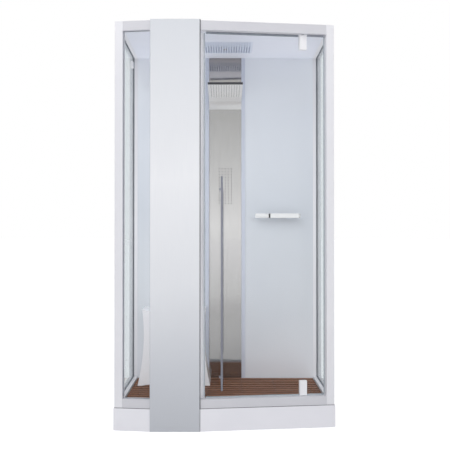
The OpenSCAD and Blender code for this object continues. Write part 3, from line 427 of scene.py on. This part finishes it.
# node: (body, slot, material, edge radius in mm)
DRESSED = {
    "shower_tray": ("cabin", "base_white", BASE_WHITE, 3.0),
    "front_skirts": ("cabin", "base_white", BASE_WHITE, 1.2),
    "side_skirts": ("cabin", "base_white", BASE_WHITE, 1.2),
    "levelling_feet": ("cabin", "black_plastic", PLASTIC_BLACK, 1.0),
    "drain_trap": ("cabin", "grey_plastic", PLASTIC_GREY, 1.0),
    "drain_cover": ("cabin", "chrome", CHROME, 0.4),
    "waste_pipe": ("cabin", "grey_plastic", PLASTIC_GREY, 0.6),
    "deck_bearers": ("cabin", "teak", TEAK, 2.0),
    "deck_slats": ("cabin", "teak", TEAK, 2.5),
    "front_posts": ("cabin", "frame_white", FRAME_WHITE, 1.2),
    "rear_posts": ("cabin", "frame_white", FRAME_WHITE, 1.2),
    "sill_front_left": ("cabin", "frame_white", RAIL_WHITE_SHADED, 1.0),
    "sill_front_right": ("cabin", "frame_white", RAIL_WHITE_SHADED, 1.0),
    "side_sills": ("cabin", "frame_white", FRAME_WHITE, 1.0),
    "sill_rear": ("cabin", "frame_white", FRAME_WHITE, 1.0),
    "header_front_left": ("cabin", "frame_white", RAIL_WHITE_SHADED, 1.0),
    "header_front_right": ("cabin", "frame_white", RAIL_WHITE_SHADED, 1.0),
    "side_headers": ("cabin", "frame_white", FRAME_WHITE, 1.0),
    "header_rear": ("cabin", "frame_white", FRAME_WHITE, 1.0),
    "rear_mullions": ("cabin", "frame_white", FRAME_WHITE, 1.0),
    "ceiling_panel": ("cabin", "ceiling_white", CEILING_WHITE, 0.8),
    "rain_head": ("cabin", "steel", RAIN_STEEL, 0.5),
    "rain_water_box": ("cabin", "grey_plastic", RAIN_BOX, 2.0),
    "column_panel": ("cabin", "column_satin", PANEL_SHEET, 1.0),
    "column_posts": ("cabin", "frame_white", FRAME_WHITE, 1.0),
    "column_header": ("cabin", "frame_white", FRAME_WHITE, 1.0),
    "column_housing": ("cabin", "frame_white", FRAME_WHITE, 1.0),
    "strike_jamb": ("cabin", "frame_white", JAMB_WHITE_LIT, 1.5),
    "steam_generator": ("cabin", "steel", STEEL, 2.0),
    "steam_outlet": ("cabin", "chrome", CHROME, 0.5),
    "control_unit": ("cabin", "black_plastic", PLASTIC_BLACK, 2.0),
    "glazing_gaskets": ("cabin", "seal_rubber", SEAL_GREY, 0.4),
    "pane_clip": ("cabin", "white_plastic", PLASTIC_WHITE, 2.0),
    "rear_wall_left": ("cabin", "wall_panel", WALL_SHEET, 0.8),
    "rear_wall_right": ("cabin", "wall_panel", WALL_SHEET, 0.8),
    "column_trims": ("cabin", "column_satin", TRIM_SILVER, 1.0),
    "steel_column": ("cabin", "mirror_steel", STEEL_MIRROR, 0.5),
    "rear_access_cover": ("cabin", "frame_white", FRAME_WHITE, 1.0),
    "overhead_shower": ("cabin", "steel", SLAB_STEEL, 0.8),
    "nozzle_plate": ("cabin", "grey_plastic", PLATE_STEEL, 0.0),
    "body_jets": ("cabin", "grey_plastic", NOZZLE_DARK, 0.0),
    "water_pipes": ("cabin", "brass", BRASS, 0.5),
    "pipe_fittings": ("cabin", "brass", BRASS, 2.0),
    "inlet_unions": ("cabin", "chrome", CHROME, 0.6),
    "mixer_body": ("cabin", "chrome", MIXER_CHROME, 1.2),
    "mixer_sleeve": ("cabin", "black_plastic", PLASTIC_BLACK, 0.3),
    "flow_handle": ("flow_handle", "chrome", MIXER_CHROME, 1.5),
    "temperature_knob": ("temperature_knob", "chrome", MIXER_CHROME, 1.2),
    "door_hinges": ("door", "white_plastic", PLASTIC_WHITE, 1.5),
    "pivot_pins": ("door", "steel", STEEL, 0.4),
    "pivot_bushes": ("cabin", "grey_plastic", PLASTIC_GREY, 0.3),
    "door_handle": ("door", "steel", BAR_STEEL, 0.8),
    "handle_fixings": ("door", "chrome", DARK_CHROME, 0.5),
    "door_seals": ("door", "seal_rubber", SEAL_CLEAR, 0.4),
    "door_stops": ("cabin", "seal_rubber", SEAL_GREY, 0.4),
    "stool": ("stool", "white_plastic", STOOL_WHITE, 5.0),
}

# Nodes whose flat faces are wanted whole, to press or cut into them
WHOLE_FACES = ("body_jets", "drain_cover", "flow_handle", "rear_access_cover", "rear_wall_right")


def dress_nodes():
    for node, (body, slot, mat, radius) in DRESSED.items():
        piece = node_copy(node, node + "_piece", node in WHOLE_FACES)
        if radius:
            soften(piece, radius * MM)
        finish(piece, body, slot, mat, nodes=[node])


PANE_EDGE = 0.8 * MM


def pane(node, body, sheet):
    """A sheet of glass with ground edges: its cut faces get the deeper edge colour."""
    piece = node_copy(node, node + "_piece", True)
    soften(piece, PANE_EDGE)
    finish(piece, body, "clear_glass", sheet, GLASS_EDGE, nodes=[node])
    big = max(p.area for p in piece.data.polygons)
    flat = max(piece.data.polygons, key=lambda p: p.area).normal.copy()
    for p in piece.data.polygons:
        p.material_index = 0 if abs(p.normal.dot(flat)) > 0.99 and p.area > big * 0.01 else 1


dress_nodes()
pane("front_left_glass", "cabin", GLASS)
pane("door_glass", "door", GLASS)
pane("left_glass", "cabin", SIDE_GLASS)
pane("right_glass", "cabin", SIDE_GLASS)


# Modelled details

TURN_TO = {"X": (0.0, math.pi / 2, 0.0), "Y": (math.pi / 2, 0.0, 0.0), "Z": (0.0, 0.0, 0.0)}


def new_rod(name, radius, length, middle, axis="Z", sides=24):
    """A rod at its size and place along an axis."""
    bpy.ops.object.select_all(action="DESELECT")
    bpy.ops.mesh.primitive_cylinder_add(vertices=sides, radius=radius, depth=length, location=middle,
                                        rotation=TURN_TO[axis])
    rod = bpy.context.object
    rod.name = name
    settle(rod)
    return rod


def pick(obj, test):
    """Opens an object for editing with the faces selected that pass a test of middle, normal and area."""
    only(obj)
    bpy.ops.object.mode_set(mode="EDIT")
    bpy.ops.mesh.select_mode(type="FACE")
    mesh = bmesh.from_edit_mesh(obj.data)
    for face in mesh.faces:
        face.select_set(bool(test(face.calc_center_median(), face.normal, face.calc_area())))
    bmesh.update_edit_mesh(obj.data)


def close_edit():
    bpy.ops.object.mode_set(mode="OBJECT")


def copies(master, name, places):
    """Copies of a shape modelled once, each with its own mesh, moved into place and joined."""
    made = []
    for place in places:
        twin = bpy.data.objects.new(name, master.data.copy())
        bpy.context.scene.collection.objects.link(twin)
        twin.matrix_world = place
        made.append(twin)
    bpy.data.objects.remove(master)
    bpy.ops.object.select_all(action="DESELECT")
    for twin in made:
        twin.select_set(True)
    bpy.context.view_layer.objects.active = made[0]
    bpy.ops.object.transform_apply(location=True, rotation=True, scale=True)
    bpy.ops.object.join()
    made[0].name = name
    return made[0]


def carve(obj, cutter):
    """Cuts one shape out of another and removes the cutter."""
    apply(obj, "BOOLEAN", operation="DIFFERENCE", object=cutter, solver="EXACT")
    bpy.data.objects.remove(cutter)


def screw_head(name, radius, height):
    """Button head of a screw with a six-sided socket: its foot at the origin, its top towards -Y."""
    head = new_rod(name, radius, height, (0.0, -height / 2, 0.0), "Y", 20)
    apply(head, "BEVEL", width=height * 0.4, segments=2, limit_method="ANGLE", angle_limit=math.radians(60))
    carve(head, new_rod("socket", radius * 0.48, height, (0.0, -height * 0.95, 0.0), "Y", 6))
    only(head)
    bpy.ops.object.shade_smooth_by_angle(angle=math.radians(40))
    return head


SCREW_R = 4.2 * MM
SCREW_H = 1.6 * MM
HINGE_SCREW_S = 11 * MM
HINGE_SCREW_Z = 24 * MM
HINGE_PLATE_H = 80 * MM
HINGE_PLATE_T = 24 * MM
FRONT_SLOPE = math.radians(8.5)


def facing(x, y, z, turn=0.0, tip=0.0):
    """Place of a screw: turn is about the upright axis, and tip lays its top from -Y towards +Z."""
    return Matrix.Translation((x, y, z)) @ Matrix.Rotation(turn, 4, "Z") @ Matrix.Rotation(-tip, 4, "X")


def hinge_screws():
    """Four screws on the inner face of each pivot plate."""
    lo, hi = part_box("door_hinges")
    middle = (lo + hi) / 2
    across = Vector((math.cos(FRONT_SLOPE), math.sin(FRONT_SLOPE), 0.0))
    inward = Vector((-math.sin(FRONT_SLOPE), math.cos(FRONT_SLOPE), 0.0))
    spots = []
    for z in (lo.z + HINGE_PLATE_H / 2, hi.z - HINGE_PLATE_H / 2):
        for s in (-1, 1):
            for up in (-1, 1):
                p = Vector((middle.x, middle.y, z + up * HINGE_SCREW_Z)) + across * s * HINGE_SCREW_S
                p += inward * HINGE_PLATE_T / 2
                spots.append(facing(p.x, p.y, p.z, FRONT_SLOPE + math.pi))
    screws = copies(screw_head("hinge_screw", SCREW_R, SCREW_H), "hinge_screws", spots)
    finish(screws, "door", "chrome", CHROME)


BEARER_PITCH = 192 * MM
BEARERS = 6
SLAT_W = 42 * MM
DECK_FRONT_CLEAR = 40 * MM
SINK_R = 5.2 * MM
SINK_D = 1.4 * MM
SINK_HEAD_H = SINK_D * 0.8


def deck_screws():
    """A sunk screw wherever a slat crosses a bearer, each in its own bored seat."""
    lo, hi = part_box("deck_slats")
    bored = bpy.data.objects["deck_slats_piece"]
    column_lo, column_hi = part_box("column_housing")
    spots = []
    row = 0
    while hi.y - SLAT_W / 2 - row * SLAT_PITCH > lo.y:
        y = hi.y - SLAT_W / 2 - row * SLAT_PITCH
        for i in range(BEARERS):
            x = (i - (BEARERS - 1) / 2) * BEARER_PITCH
            front = max(0.0, x - column_hi.x, column_lo.x - x) * math.tan(FRONT_SLOPE) + lo.y
            beside = column_lo.x - DECK_FRONT_CLEAR < x < column_hi.x + DECK_FRONT_CLEAR
            if y > front + DECK_FRONT_CLEAR and not (beside and y < column_hi.y + DECK_FRONT_CLEAR):
                spots.append((x, y))
        row += 1
    seats = [Matrix.Translation((x, y, hi.z)) for x, y in spots]
    carve(bored, copies(new_rod("seat", SINK_R, 2 * SINK_D, (0.0, 0.0, 0.0), "Z", 16), "seats", seats))
    tops = [facing(x, y, hi.z - SINK_D, 0.0, math.pi / 2) for x, y in spots]
    screws = copies(screw_head("deck_screw", SCREW_R, SINK_HEAD_H), "deck_screws", tops)
    finish(screws, "cabin", "chrome", CHROME)


COVER_SCREWS = 6
COVER_INSET = 14 * MM
COVER_RIM = 28 * MM
COVER_PRESS_W = 2.5 * MM
COVER_PRESS_D = 1.2 * MM
COVER_SINK = 2 * MM


def cover_screws():
    """The rear cover: a pressed field inside its rim, and sunk screws along both edges."""
    lo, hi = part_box("rear_access_cover")
    cover = bpy.data.objects["rear_access_cover_piece"]
    pick(cover, lambda mid, normal, area: normal.y > 0.99 and area > 0.1)
    bpy.ops.mesh.inset(thickness=COVER_RIM, depth=0.0)
    bpy.ops.mesh.inset(thickness=COVER_PRESS_W, depth=-COVER_PRESS_D)
    close_edit()
    step = (hi.z - lo.z - 2 * COVER_INSET) / (COVER_SCREWS - 1)
    spots = [(x, lo.z + COVER_INSET + i * step) for x in (lo.x + COVER_INSET, hi.x - COVER_INSET)
             for i in range(COVER_SCREWS)]
    seats = [Matrix.Translation((x, hi.y, z)) for x, z in spots]
    carve(cover, copies(new_rod("seat", SINK_R, 2 * COVER_SINK, (0.0, 0.0, 0.0), "Y", 16), "seats", seats))
    heads = [facing(x, hi.y - COVER_SINK, z, math.pi) for x, z in spots]
    screws = copies(screw_head("cover_screw", SCREW_R, SCREW_H), "cover_screws", heads)
    finish(screws, "cabin", "chrome", CHROME)


def clip_screw():
    """The screw of the small clip at the top of the left pane."""
    lo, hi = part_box("pane_clip")
    place = facing(hi.x, (lo.y + hi.y) / 2, (lo.z + hi.z) / 2, math.pi / 2)
    screws = copies(screw_head("clip_screw", SCREW_R, SCREW_H), "clip_screws", [place])
    finish(screws, "cabin", "chrome", CHROME)


PLATE_TILT = math.radians(4.0)
PLATE_T = 3 * MM
NOZZLE_COLS = 12
NOZZLE_ROWS = 16
NOZZLE_R = 1.9 * MM
NOZZLE_OUT = 0.8 * MM
NOZZLE_LIP = 0.5 * MM
NOZZLE_ROUND = 0.35 * MM
NOZZLE_MOUTH_W = 0.1 * MM
NOZZLE_MOUTH_D = 0.9 * MM


def nozzle_tips():
    """Soft dark nozzles in the holes of the overhead plate, each with a rounded lip and a mouth."""
    lo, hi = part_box("nozzle_plate")
    back = Vector((lo.x, hi.y - PLATE_T * math.sin(PLATE_TILT), lo.z))
    run = (back.y - lo.y) / math.cos(PLATE_TILT)
    middle = (0.0, 0.0, (PLATE_T - NOZZLE_OUT) / 2)
    tip = new_rod("nozzle_tip", NOZZLE_R, PLATE_T + NOZZLE_OUT, middle, "Z", 8)
    pick(tip, lambda mid, normal, area: normal.z < -0.9)
    bpy.ops.mesh.inset(thickness=NOZZLE_LIP, depth=NOZZLE_ROUND)
    bpy.ops.mesh.inset(thickness=NOZZLE_LIP, depth=0.0)
    bpy.ops.mesh.inset(thickness=NOZZLE_MOUTH_W, depth=-NOZZLE_MOUTH_D)
    close_edit()
    tilt = Matrix.Rotation(-PLATE_TILT, 4, "X")
    spots = []
    for i in range(NOZZLE_COLS):
        for j in range(NOZZLE_ROWS):
            x = (i + 0.5) * (hi.x - lo.x) / NOZZLE_COLS
            y = -(j + 0.5) * run / NOZZLE_ROWS
            spots.append(Matrix.Translation(back) @ tilt @ Matrix.Translation((x, y, 0.0)))
    finish(copies(tip, "nozzle_tips", spots), "cabin", "black_plastic", NOZZLE_DARK)


JET_R = 2.8 * MM
JET_LIP = 0.6 * MM
JET_BEVEL = 0.5 * MM
JET_MOUTH_W = 0.1 * MM
JET_MOUTH_D = 0.8 * MM
JET_FRONT_BAND = 0.2 * MM


def jet_mouths():
    """Turns the front of every wall jet into a lip with a mouth."""
    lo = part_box("body_jets")[0]
    jets = bpy.data.objects["body_jets_piece"]
    round_face = math.pi * JET_R ** 2
    pick(jets, lambda mid, normal, area: normal.y < -0.9 and mid.y < lo.y + JET_FRONT_BAND
         and area < round_face * 1.2)
    bpy.ops.mesh.inset(use_individual=True, thickness=JET_LIP, depth=0.0)
    bpy.ops.mesh.inset(use_individual=True, thickness=JET_BEVEL, depth=-JET_LIP)
    bpy.ops.mesh.inset(use_individual=True, thickness=JET_MOUTH_W, depth=-JET_MOUTH_D)
    close_edit()


NUT_R = 11 * MM
NUT_H = 8 * MM
NUT_BEVEL = 1.2 * MM
PAD_T = 12 * MM


def group_middles(points, reach):
    """Middles of the groups of points, in plan, where a group lies within reach of its first point."""
    groups = []
    for p in points:
        near = [g for g in groups if (p.xy - g[0].xy).length < reach]
        if near:
            near[0].append(p)
        else:
            groups.append([p])
    return [((min(p.x for p in g) + max(p.x for p in g)) / 2,
             (min(p.y for p in g) + max(p.y for p in g)) / 2) for g in groups]


def foot_nuts():
    """Lock nuts of the feet, one above the pad and one under the tray."""
    lo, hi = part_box("levelling_feet")
    pads = [v.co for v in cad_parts["levelling_feet"].data.vertices if v.co.z < lo.z + PAD_T / 2]
    middles = group_middles(pads, 4 * NUT_R)
    nut = new_rod("foot_nut", NUT_R, NUT_H, (0.0, 0.0, 0.0), "Z", 6)
    apply(nut, "BEVEL", width=NUT_BEVEL, segments=2, limit_method="ANGLE", angle_limit=math.radians(50))
    spots = [Matrix.Translation((x, y, z)) for x, y in middles
             for z in (lo.z + PAD_T + NUT_H / 2, hi.z - NUT_H)]
    finish(copies(nut, "foot_nuts", spots), "cabin", "steel", STEEL)


GRIP_W = 0.2 * MM
GRIP_D = 0.3 * MM
HANDLE_RIM = 5 * MM
HANDLE_PRESS_W = 0.8 * MM
HANDLE_PRESS_D = 0.5 * MM


def knob_grip():
    """Grip lines round the temperature knob, and a sunk field on the front of the flow handle."""
    lo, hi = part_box("temperature_knob")
    width = hi.x - lo.x
    knob = bpy.data.objects["temperature_knob_piece"]
    pick(knob, lambda mid, normal, area: abs(normal.x) < 0.05 and area < width * 4 * MM
         and abs(mid.x - (lo.x + hi.x) / 2) < width * 0.1)
    bpy.ops.mesh.inset(use_individual=True, thickness=GRIP_W, depth=-GRIP_D)
    close_edit()
    lo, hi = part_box("flow_handle")
    handle = bpy.data.objects["flow_handle_piece"]
    pick(handle, lambda mid, normal, area: normal.y < -0.9 and area > 0.0005)
    bpy.ops.mesh.inset(thickness=HANDLE_RIM, depth=0.0)
    bpy.ops.mesh.inset(thickness=HANDLE_PRESS_W, depth=-HANDLE_PRESS_D)
    close_edit()


def second_finish(name, mat, test):
    """Gives some faces of a piece a second material."""
    mesh = bpy.data.objects[name].data
    mesh.materials.append(mat)
    for p in mesh.polygons:
        if test(p):
            p.material_index = len(mesh.materials) - 1


# Front share of the slab, from front to back, whose front faces get painted shade
SLAB_FRONT_SHARE = 0.1


def slab_front_shade():
    """The front faces of the overhead slab get a dark steel: painted shade along its front edge."""
    lo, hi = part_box("overhead_shower")
    front = lo.y + (hi.y - lo.y) * SLAB_FRONT_SHARE
    second_finish("overhead_shower_piece", SLAB_FRONT_SHADE, lambda p: p.normal.y < -0.8 and p.center.y < front)


def new_bar(name, low, high):
    """A bar from its lowest to its highest corner."""
    bpy.ops.object.select_all(action="DESELECT")
    bpy.ops.mesh.primitive_cube_add(size=1.0, location=(Vector(low) + Vector(high)) / 2,
                                    scale=Vector(high) - Vector(low))
    bar = bpy.context.object
    bar.name = name
    settle(bar)
    return bar


EDGE_SEAL_W = 4 * MM
EDGE_SEAL_D = 8 * MM
EDGE_SEAL_LIP = 1 * MM


def panel_edge_seal():
    """Dark rubber strip along the right edge of the front panel, with a lip along its front: painted shade of
    the gap beside the jamb.
    """
    lo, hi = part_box("column_panel")
    seal = new_bar("panel_edge_seal", (hi.x, hi.y - EDGE_SEAL_D, lo.z + EDGE_SEAL_LIP),
                   (hi.x + EDGE_SEAL_W, hi.y, hi.z - EDGE_SEAL_LIP))
    pick(seal, lambda mid, normal, area: normal.y < -0.9)
    bpy.ops.mesh.inset(thickness=EDGE_SEAL_LIP, depth=0.0)
    bpy.ops.mesh.inset(thickness=EDGE_SEAL_LIP / 2, depth=-EDGE_SEAL_LIP)
    close_edit()
    finish(seal, "cabin", "seal_rubber", SHADE_RUBBER)


BEAD = 2.6 * MM
BEAD_OUT = BEAD * 0.8
BEAD_IN = BEAD * 0.2
BEAD_ROUND = BEAD * 0.3


def sill_beads():
    """Dark rubber bead in the corner between each front sill, with its post, and the skirt under it: painted
    shade of the gap line there.
    """
    post_lo, post_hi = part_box("front_posts")
    for side, node in (("left", "sill_front_left"), ("right", "sill_front_right")):
        lo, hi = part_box(node)
        slope = FRONT_SLOPE if side == "right" else -FRONT_SLOPE
        length = (post_hi.x - lo.x if side == "right" else hi.x - post_lo.x) / math.cos(slope)
        bead = new_bar("sill_bead_" + side, (0.0, -BEAD_OUT, -BEAD_IN), (length, BEAD_IN, BEAD_OUT))
        if side == "right":
            corner, turn = Vector((lo.x, lo.y, lo.z)), slope
        else:
            corner, turn = Vector((hi.x, lo.y, lo.z)), math.pi + slope
            bead.data.transform(Matrix.Diagonal((1.0, -1.0, 1.0, 1.0)))
            bead.data.flip_normals()
        bead.matrix_world = Matrix.Translation(corner) @ Matrix.Rotation(turn, 4, "Z")
        settle(bead)
        soften(bead, BEAD_ROUND)
        finish(bead, "cabin", "seal_rubber", SHADE_RUBBER)


for add_detail in (hinge_screws, deck_screws, cover_screws, clip_screw, nozzle_tips, jet_mouths, foot_nuts,
                   knob_grip, slab_front_shade, panel_edge_seal, sill_beads):
    add_detail()


# Floor, lights and camera

# White that the camera, and the mirrors, see added to the floor
FLOOR_LIFT = 0.62
FLOOR_LIFT_MIRRORED = 0.5
FLOOR_MIRROR_NEAR_Y = -1.5
FLOOR_MIRROR_FAR_Y = -9.0
FLOOR_SIZE = 400.0
FLOOR_DROP = 0.5 * MM

# Strength of the air, then what the mirrors see of it at the horizon and higher up
AIR_LIGHT = 0.67
AIR_MIRRORED_LOW = 0.95
AIR_MIRRORED_HIGH = 0.62
AIR_FADE_TOP = 0.15

# Camera, in metres and degrees
CAMERA_PLACE = (-0.0016, -4.8898, 1.0455)
CAMERA_TILT = 90.711
CAMERA_LENS = 67.33
CAMERA_SENSOR = 36.0

# Lamps: place, aim, size in metres, watts
SOFTBOXES = {
    "softbox_high": ((-1.3, -3.2, 4.1), (0.0, -0.3, 1.5), (2.6, 2.6), 54.0),
    "softbox_front": ((2.5, -5.5, 3.0), (0.0, 0.0, 1.5), (3.0, 2.5), 52.0),
    "softbox_inside": ((-0.25, -0.18, 1.20), (-0.25, 0.35, 1.20), (0.95, 1.1), 1.5),
}
FILL_STRENGTH = 1.6
FILL_LEAN = 12.3
FILL_SPREAD = 60.0


def white_seen(f, shader, colour):
    """Adds plain white to what the camera and, less, the mirrors see, so that the floor reads white."""
    path = f.add("ShaderNodeLightPath")
    seen = f.math("MAXIMUM", path.outputs["Is Camera Ray"], path.outputs["Is Transmission Ray"])
    ahead = f.add("ShaderNodeSeparateXYZ", {"Vector": f.place}).outputs["Y"]
    far = f.spread(ahead, 0.0, FLOOR_LIFT_MIRRORED, (FLOOR_MIRROR_NEAR_Y, FLOOR_MIRROR_FAR_Y))
    strength = f.math("ADD", f.math("MULTIPLY", seen, FLOOR_LIFT),
                      f.math("MULTIPLY", path.outputs["Is Glossy Ray"], far))
    lift = f.add("ShaderNodeEmission", {"Color": colour, "Strength": strength})
    both = f.add("ShaderNodeAddShader")
    f.put(both.inputs[0], shader)
    f.put(both.inputs[1], lift.outputs["Emission"])
    f.put(f.out.inputs["Surface"], both.outputs["Shader"])


def pale_floor():
    """The floor that the cabin stands on. It keeps the shadow."""
    bpy.ops.object.select_all(action="DESELECT")
    bpy.ops.mesh.primitive_plane_add(size=FLOOR_SIZE, location=(0, 0, -FLOOR_DROP))
    floor = bpy.context.object
    floor.name = "floor"
    settle(floor)
    f = Finish("floor_pale")
    speckle = f.noise(30.0, 3.0, 0.5)
    tone = f.blend(speckle, rgb(208, 208, 209), rgb(210, 210, 210))
    paint = f.add("ShaderNodeBsdfDiffuse", {"Color": tone})
    white_seen(f, paint.outputs["BSDF"], (1.0, 1.0, 1.0, 1.0))
    floor.data.materials.append(f.mat)


def white_air():
    """Air that lights softly, reads white to the camera and is dimmer in the mirrors."""
    world = bpy.data.worlds.new("studio_air")
    bpy.context.scene.world = world
    world.use_nodes = True
    tree = world.node_tree
    tree.nodes.clear()
    out = tree.nodes.new("ShaderNodeOutputWorld")
    path = tree.nodes.new("ShaderNodeLightPath")
    most = tree.nodes.new("ShaderNodeMath")
    most.operation = "MAXIMUM"
    tree.links.new(path.outputs["Is Camera Ray"], most.inputs[0])
    tree.links.new(path.outputs["Is Transmission Ray"], most.inputs[1])
    soft = tree.nodes.new("ShaderNodeBackground")
    soft.inputs["Color"].default_value = (0.98, 0.98, 1.0, 1.0)
    soft.inputs["Strength"].default_value = AIR_LIGHT
    seen = tree.nodes.new("ShaderNodeBackground")
    seen.inputs["Color"].default_value = (1.0, 1.0, 1.0, 1.0)
    seen.inputs["Strength"].default_value = 1.0
    mirrored = tree.nodes.new("ShaderNodeBackground")
    mirrored.inputs["Color"].default_value = (1.0, 1.0, 1.0, 1.0)
    up = tree.nodes.new("ShaderNodeSeparateXYZ")
    tree.links.new(tree.nodes.new("ShaderNodeTexCoord").outputs["Generated"], up.inputs["Vector"])
    fade = tree.nodes.new("ShaderNodeMapRange")
    tree.links.new(up.outputs["Z"], fade.inputs["Value"])
    for socket, value in (("From Min", 0.0), ("From Max", AIR_FADE_TOP),
                          ("To Min", AIR_MIRRORED_LOW), ("To Max", AIR_MIRRORED_HIGH)):
        fade.inputs[socket].default_value = value
    tree.links.new(fade.outputs["Result"], mirrored.inputs["Strength"])
    direct = tree.nodes.new("ShaderNodeMixShader")
    tree.links.new(most.outputs[0], direct.inputs["Fac"])
    tree.links.new(soft.outputs[0], direct.inputs[1])
    tree.links.new(seen.outputs[0], direct.inputs[2])
    mix = tree.nodes.new("ShaderNodeMixShader")
    tree.links.new(path.outputs["Is Glossy Ray"], mix.inputs["Fac"])
    tree.links.new(direct.outputs[0], mix.inputs[1])
    tree.links.new(mirrored.outputs[0], mix.inputs[2])
    tree.links.new(mix.outputs[0], out.inputs["Surface"])


def softbox(name, place, target, size, watts):
    light = bpy.data.lights.new(name, "AREA")
    light.shape = "RECTANGLE"
    light.size, light.size_y = size
    light.energy = watts
    lamp = bpy.data.objects.new(name, light)
    bpy.context.scene.collection.objects.link(lamp)
    lamp.location = place
    lamp.rotation_euler = (Vector(target) - Vector(place)).to_track_quat("-Z", "Y").to_euler()
    lamp.visible_camera = False
    lamp.visible_glossy = False
    lamp.visible_transmission = False


def camera():
    data = bpy.data.cameras.new("camera")
    data.sensor_width = CAMERA_SENSOR
    data.lens = CAMERA_LENS
    data.clip_end = 500.0
    cam = bpy.data.objects.new("camera", data)
    bpy.context.scene.collection.objects.link(cam)
    cam.location = CAMERA_PLACE
    cam.rotation_euler = (math.radians(CAMERA_TILT), 0.0, 0.0)
    bpy.context.scene.camera = cam


def fill_from_below(name, strength, lean, spread):
    """A shadowless, very soft light from below that lifts the undersides. It leans some degrees."""
    light = bpy.data.lights.new(name, "SUN")
    light.energy = strength
    light.angle = math.radians(spread)
    light.use_shadow = False
    lamp = bpy.data.objects.new(name, light)
    bpy.context.scene.collection.objects.link(lamp)
    lamp.rotation_euler = (math.radians(180.0 - lean), 0.0, 0.0)
    lamp.visible_glossy = False


pale_floor()
white_air()
for box, (place, aim, size, watts) in SOFTBOXES.items():
    softbox(box, place, aim, size, watts)
fill_from_below("floor_fill", FILL_STRENGTH, FILL_LEAN, FILL_SPREAD)
camera()
bpy.context.scene.view_settings.view_transform = "Standard"
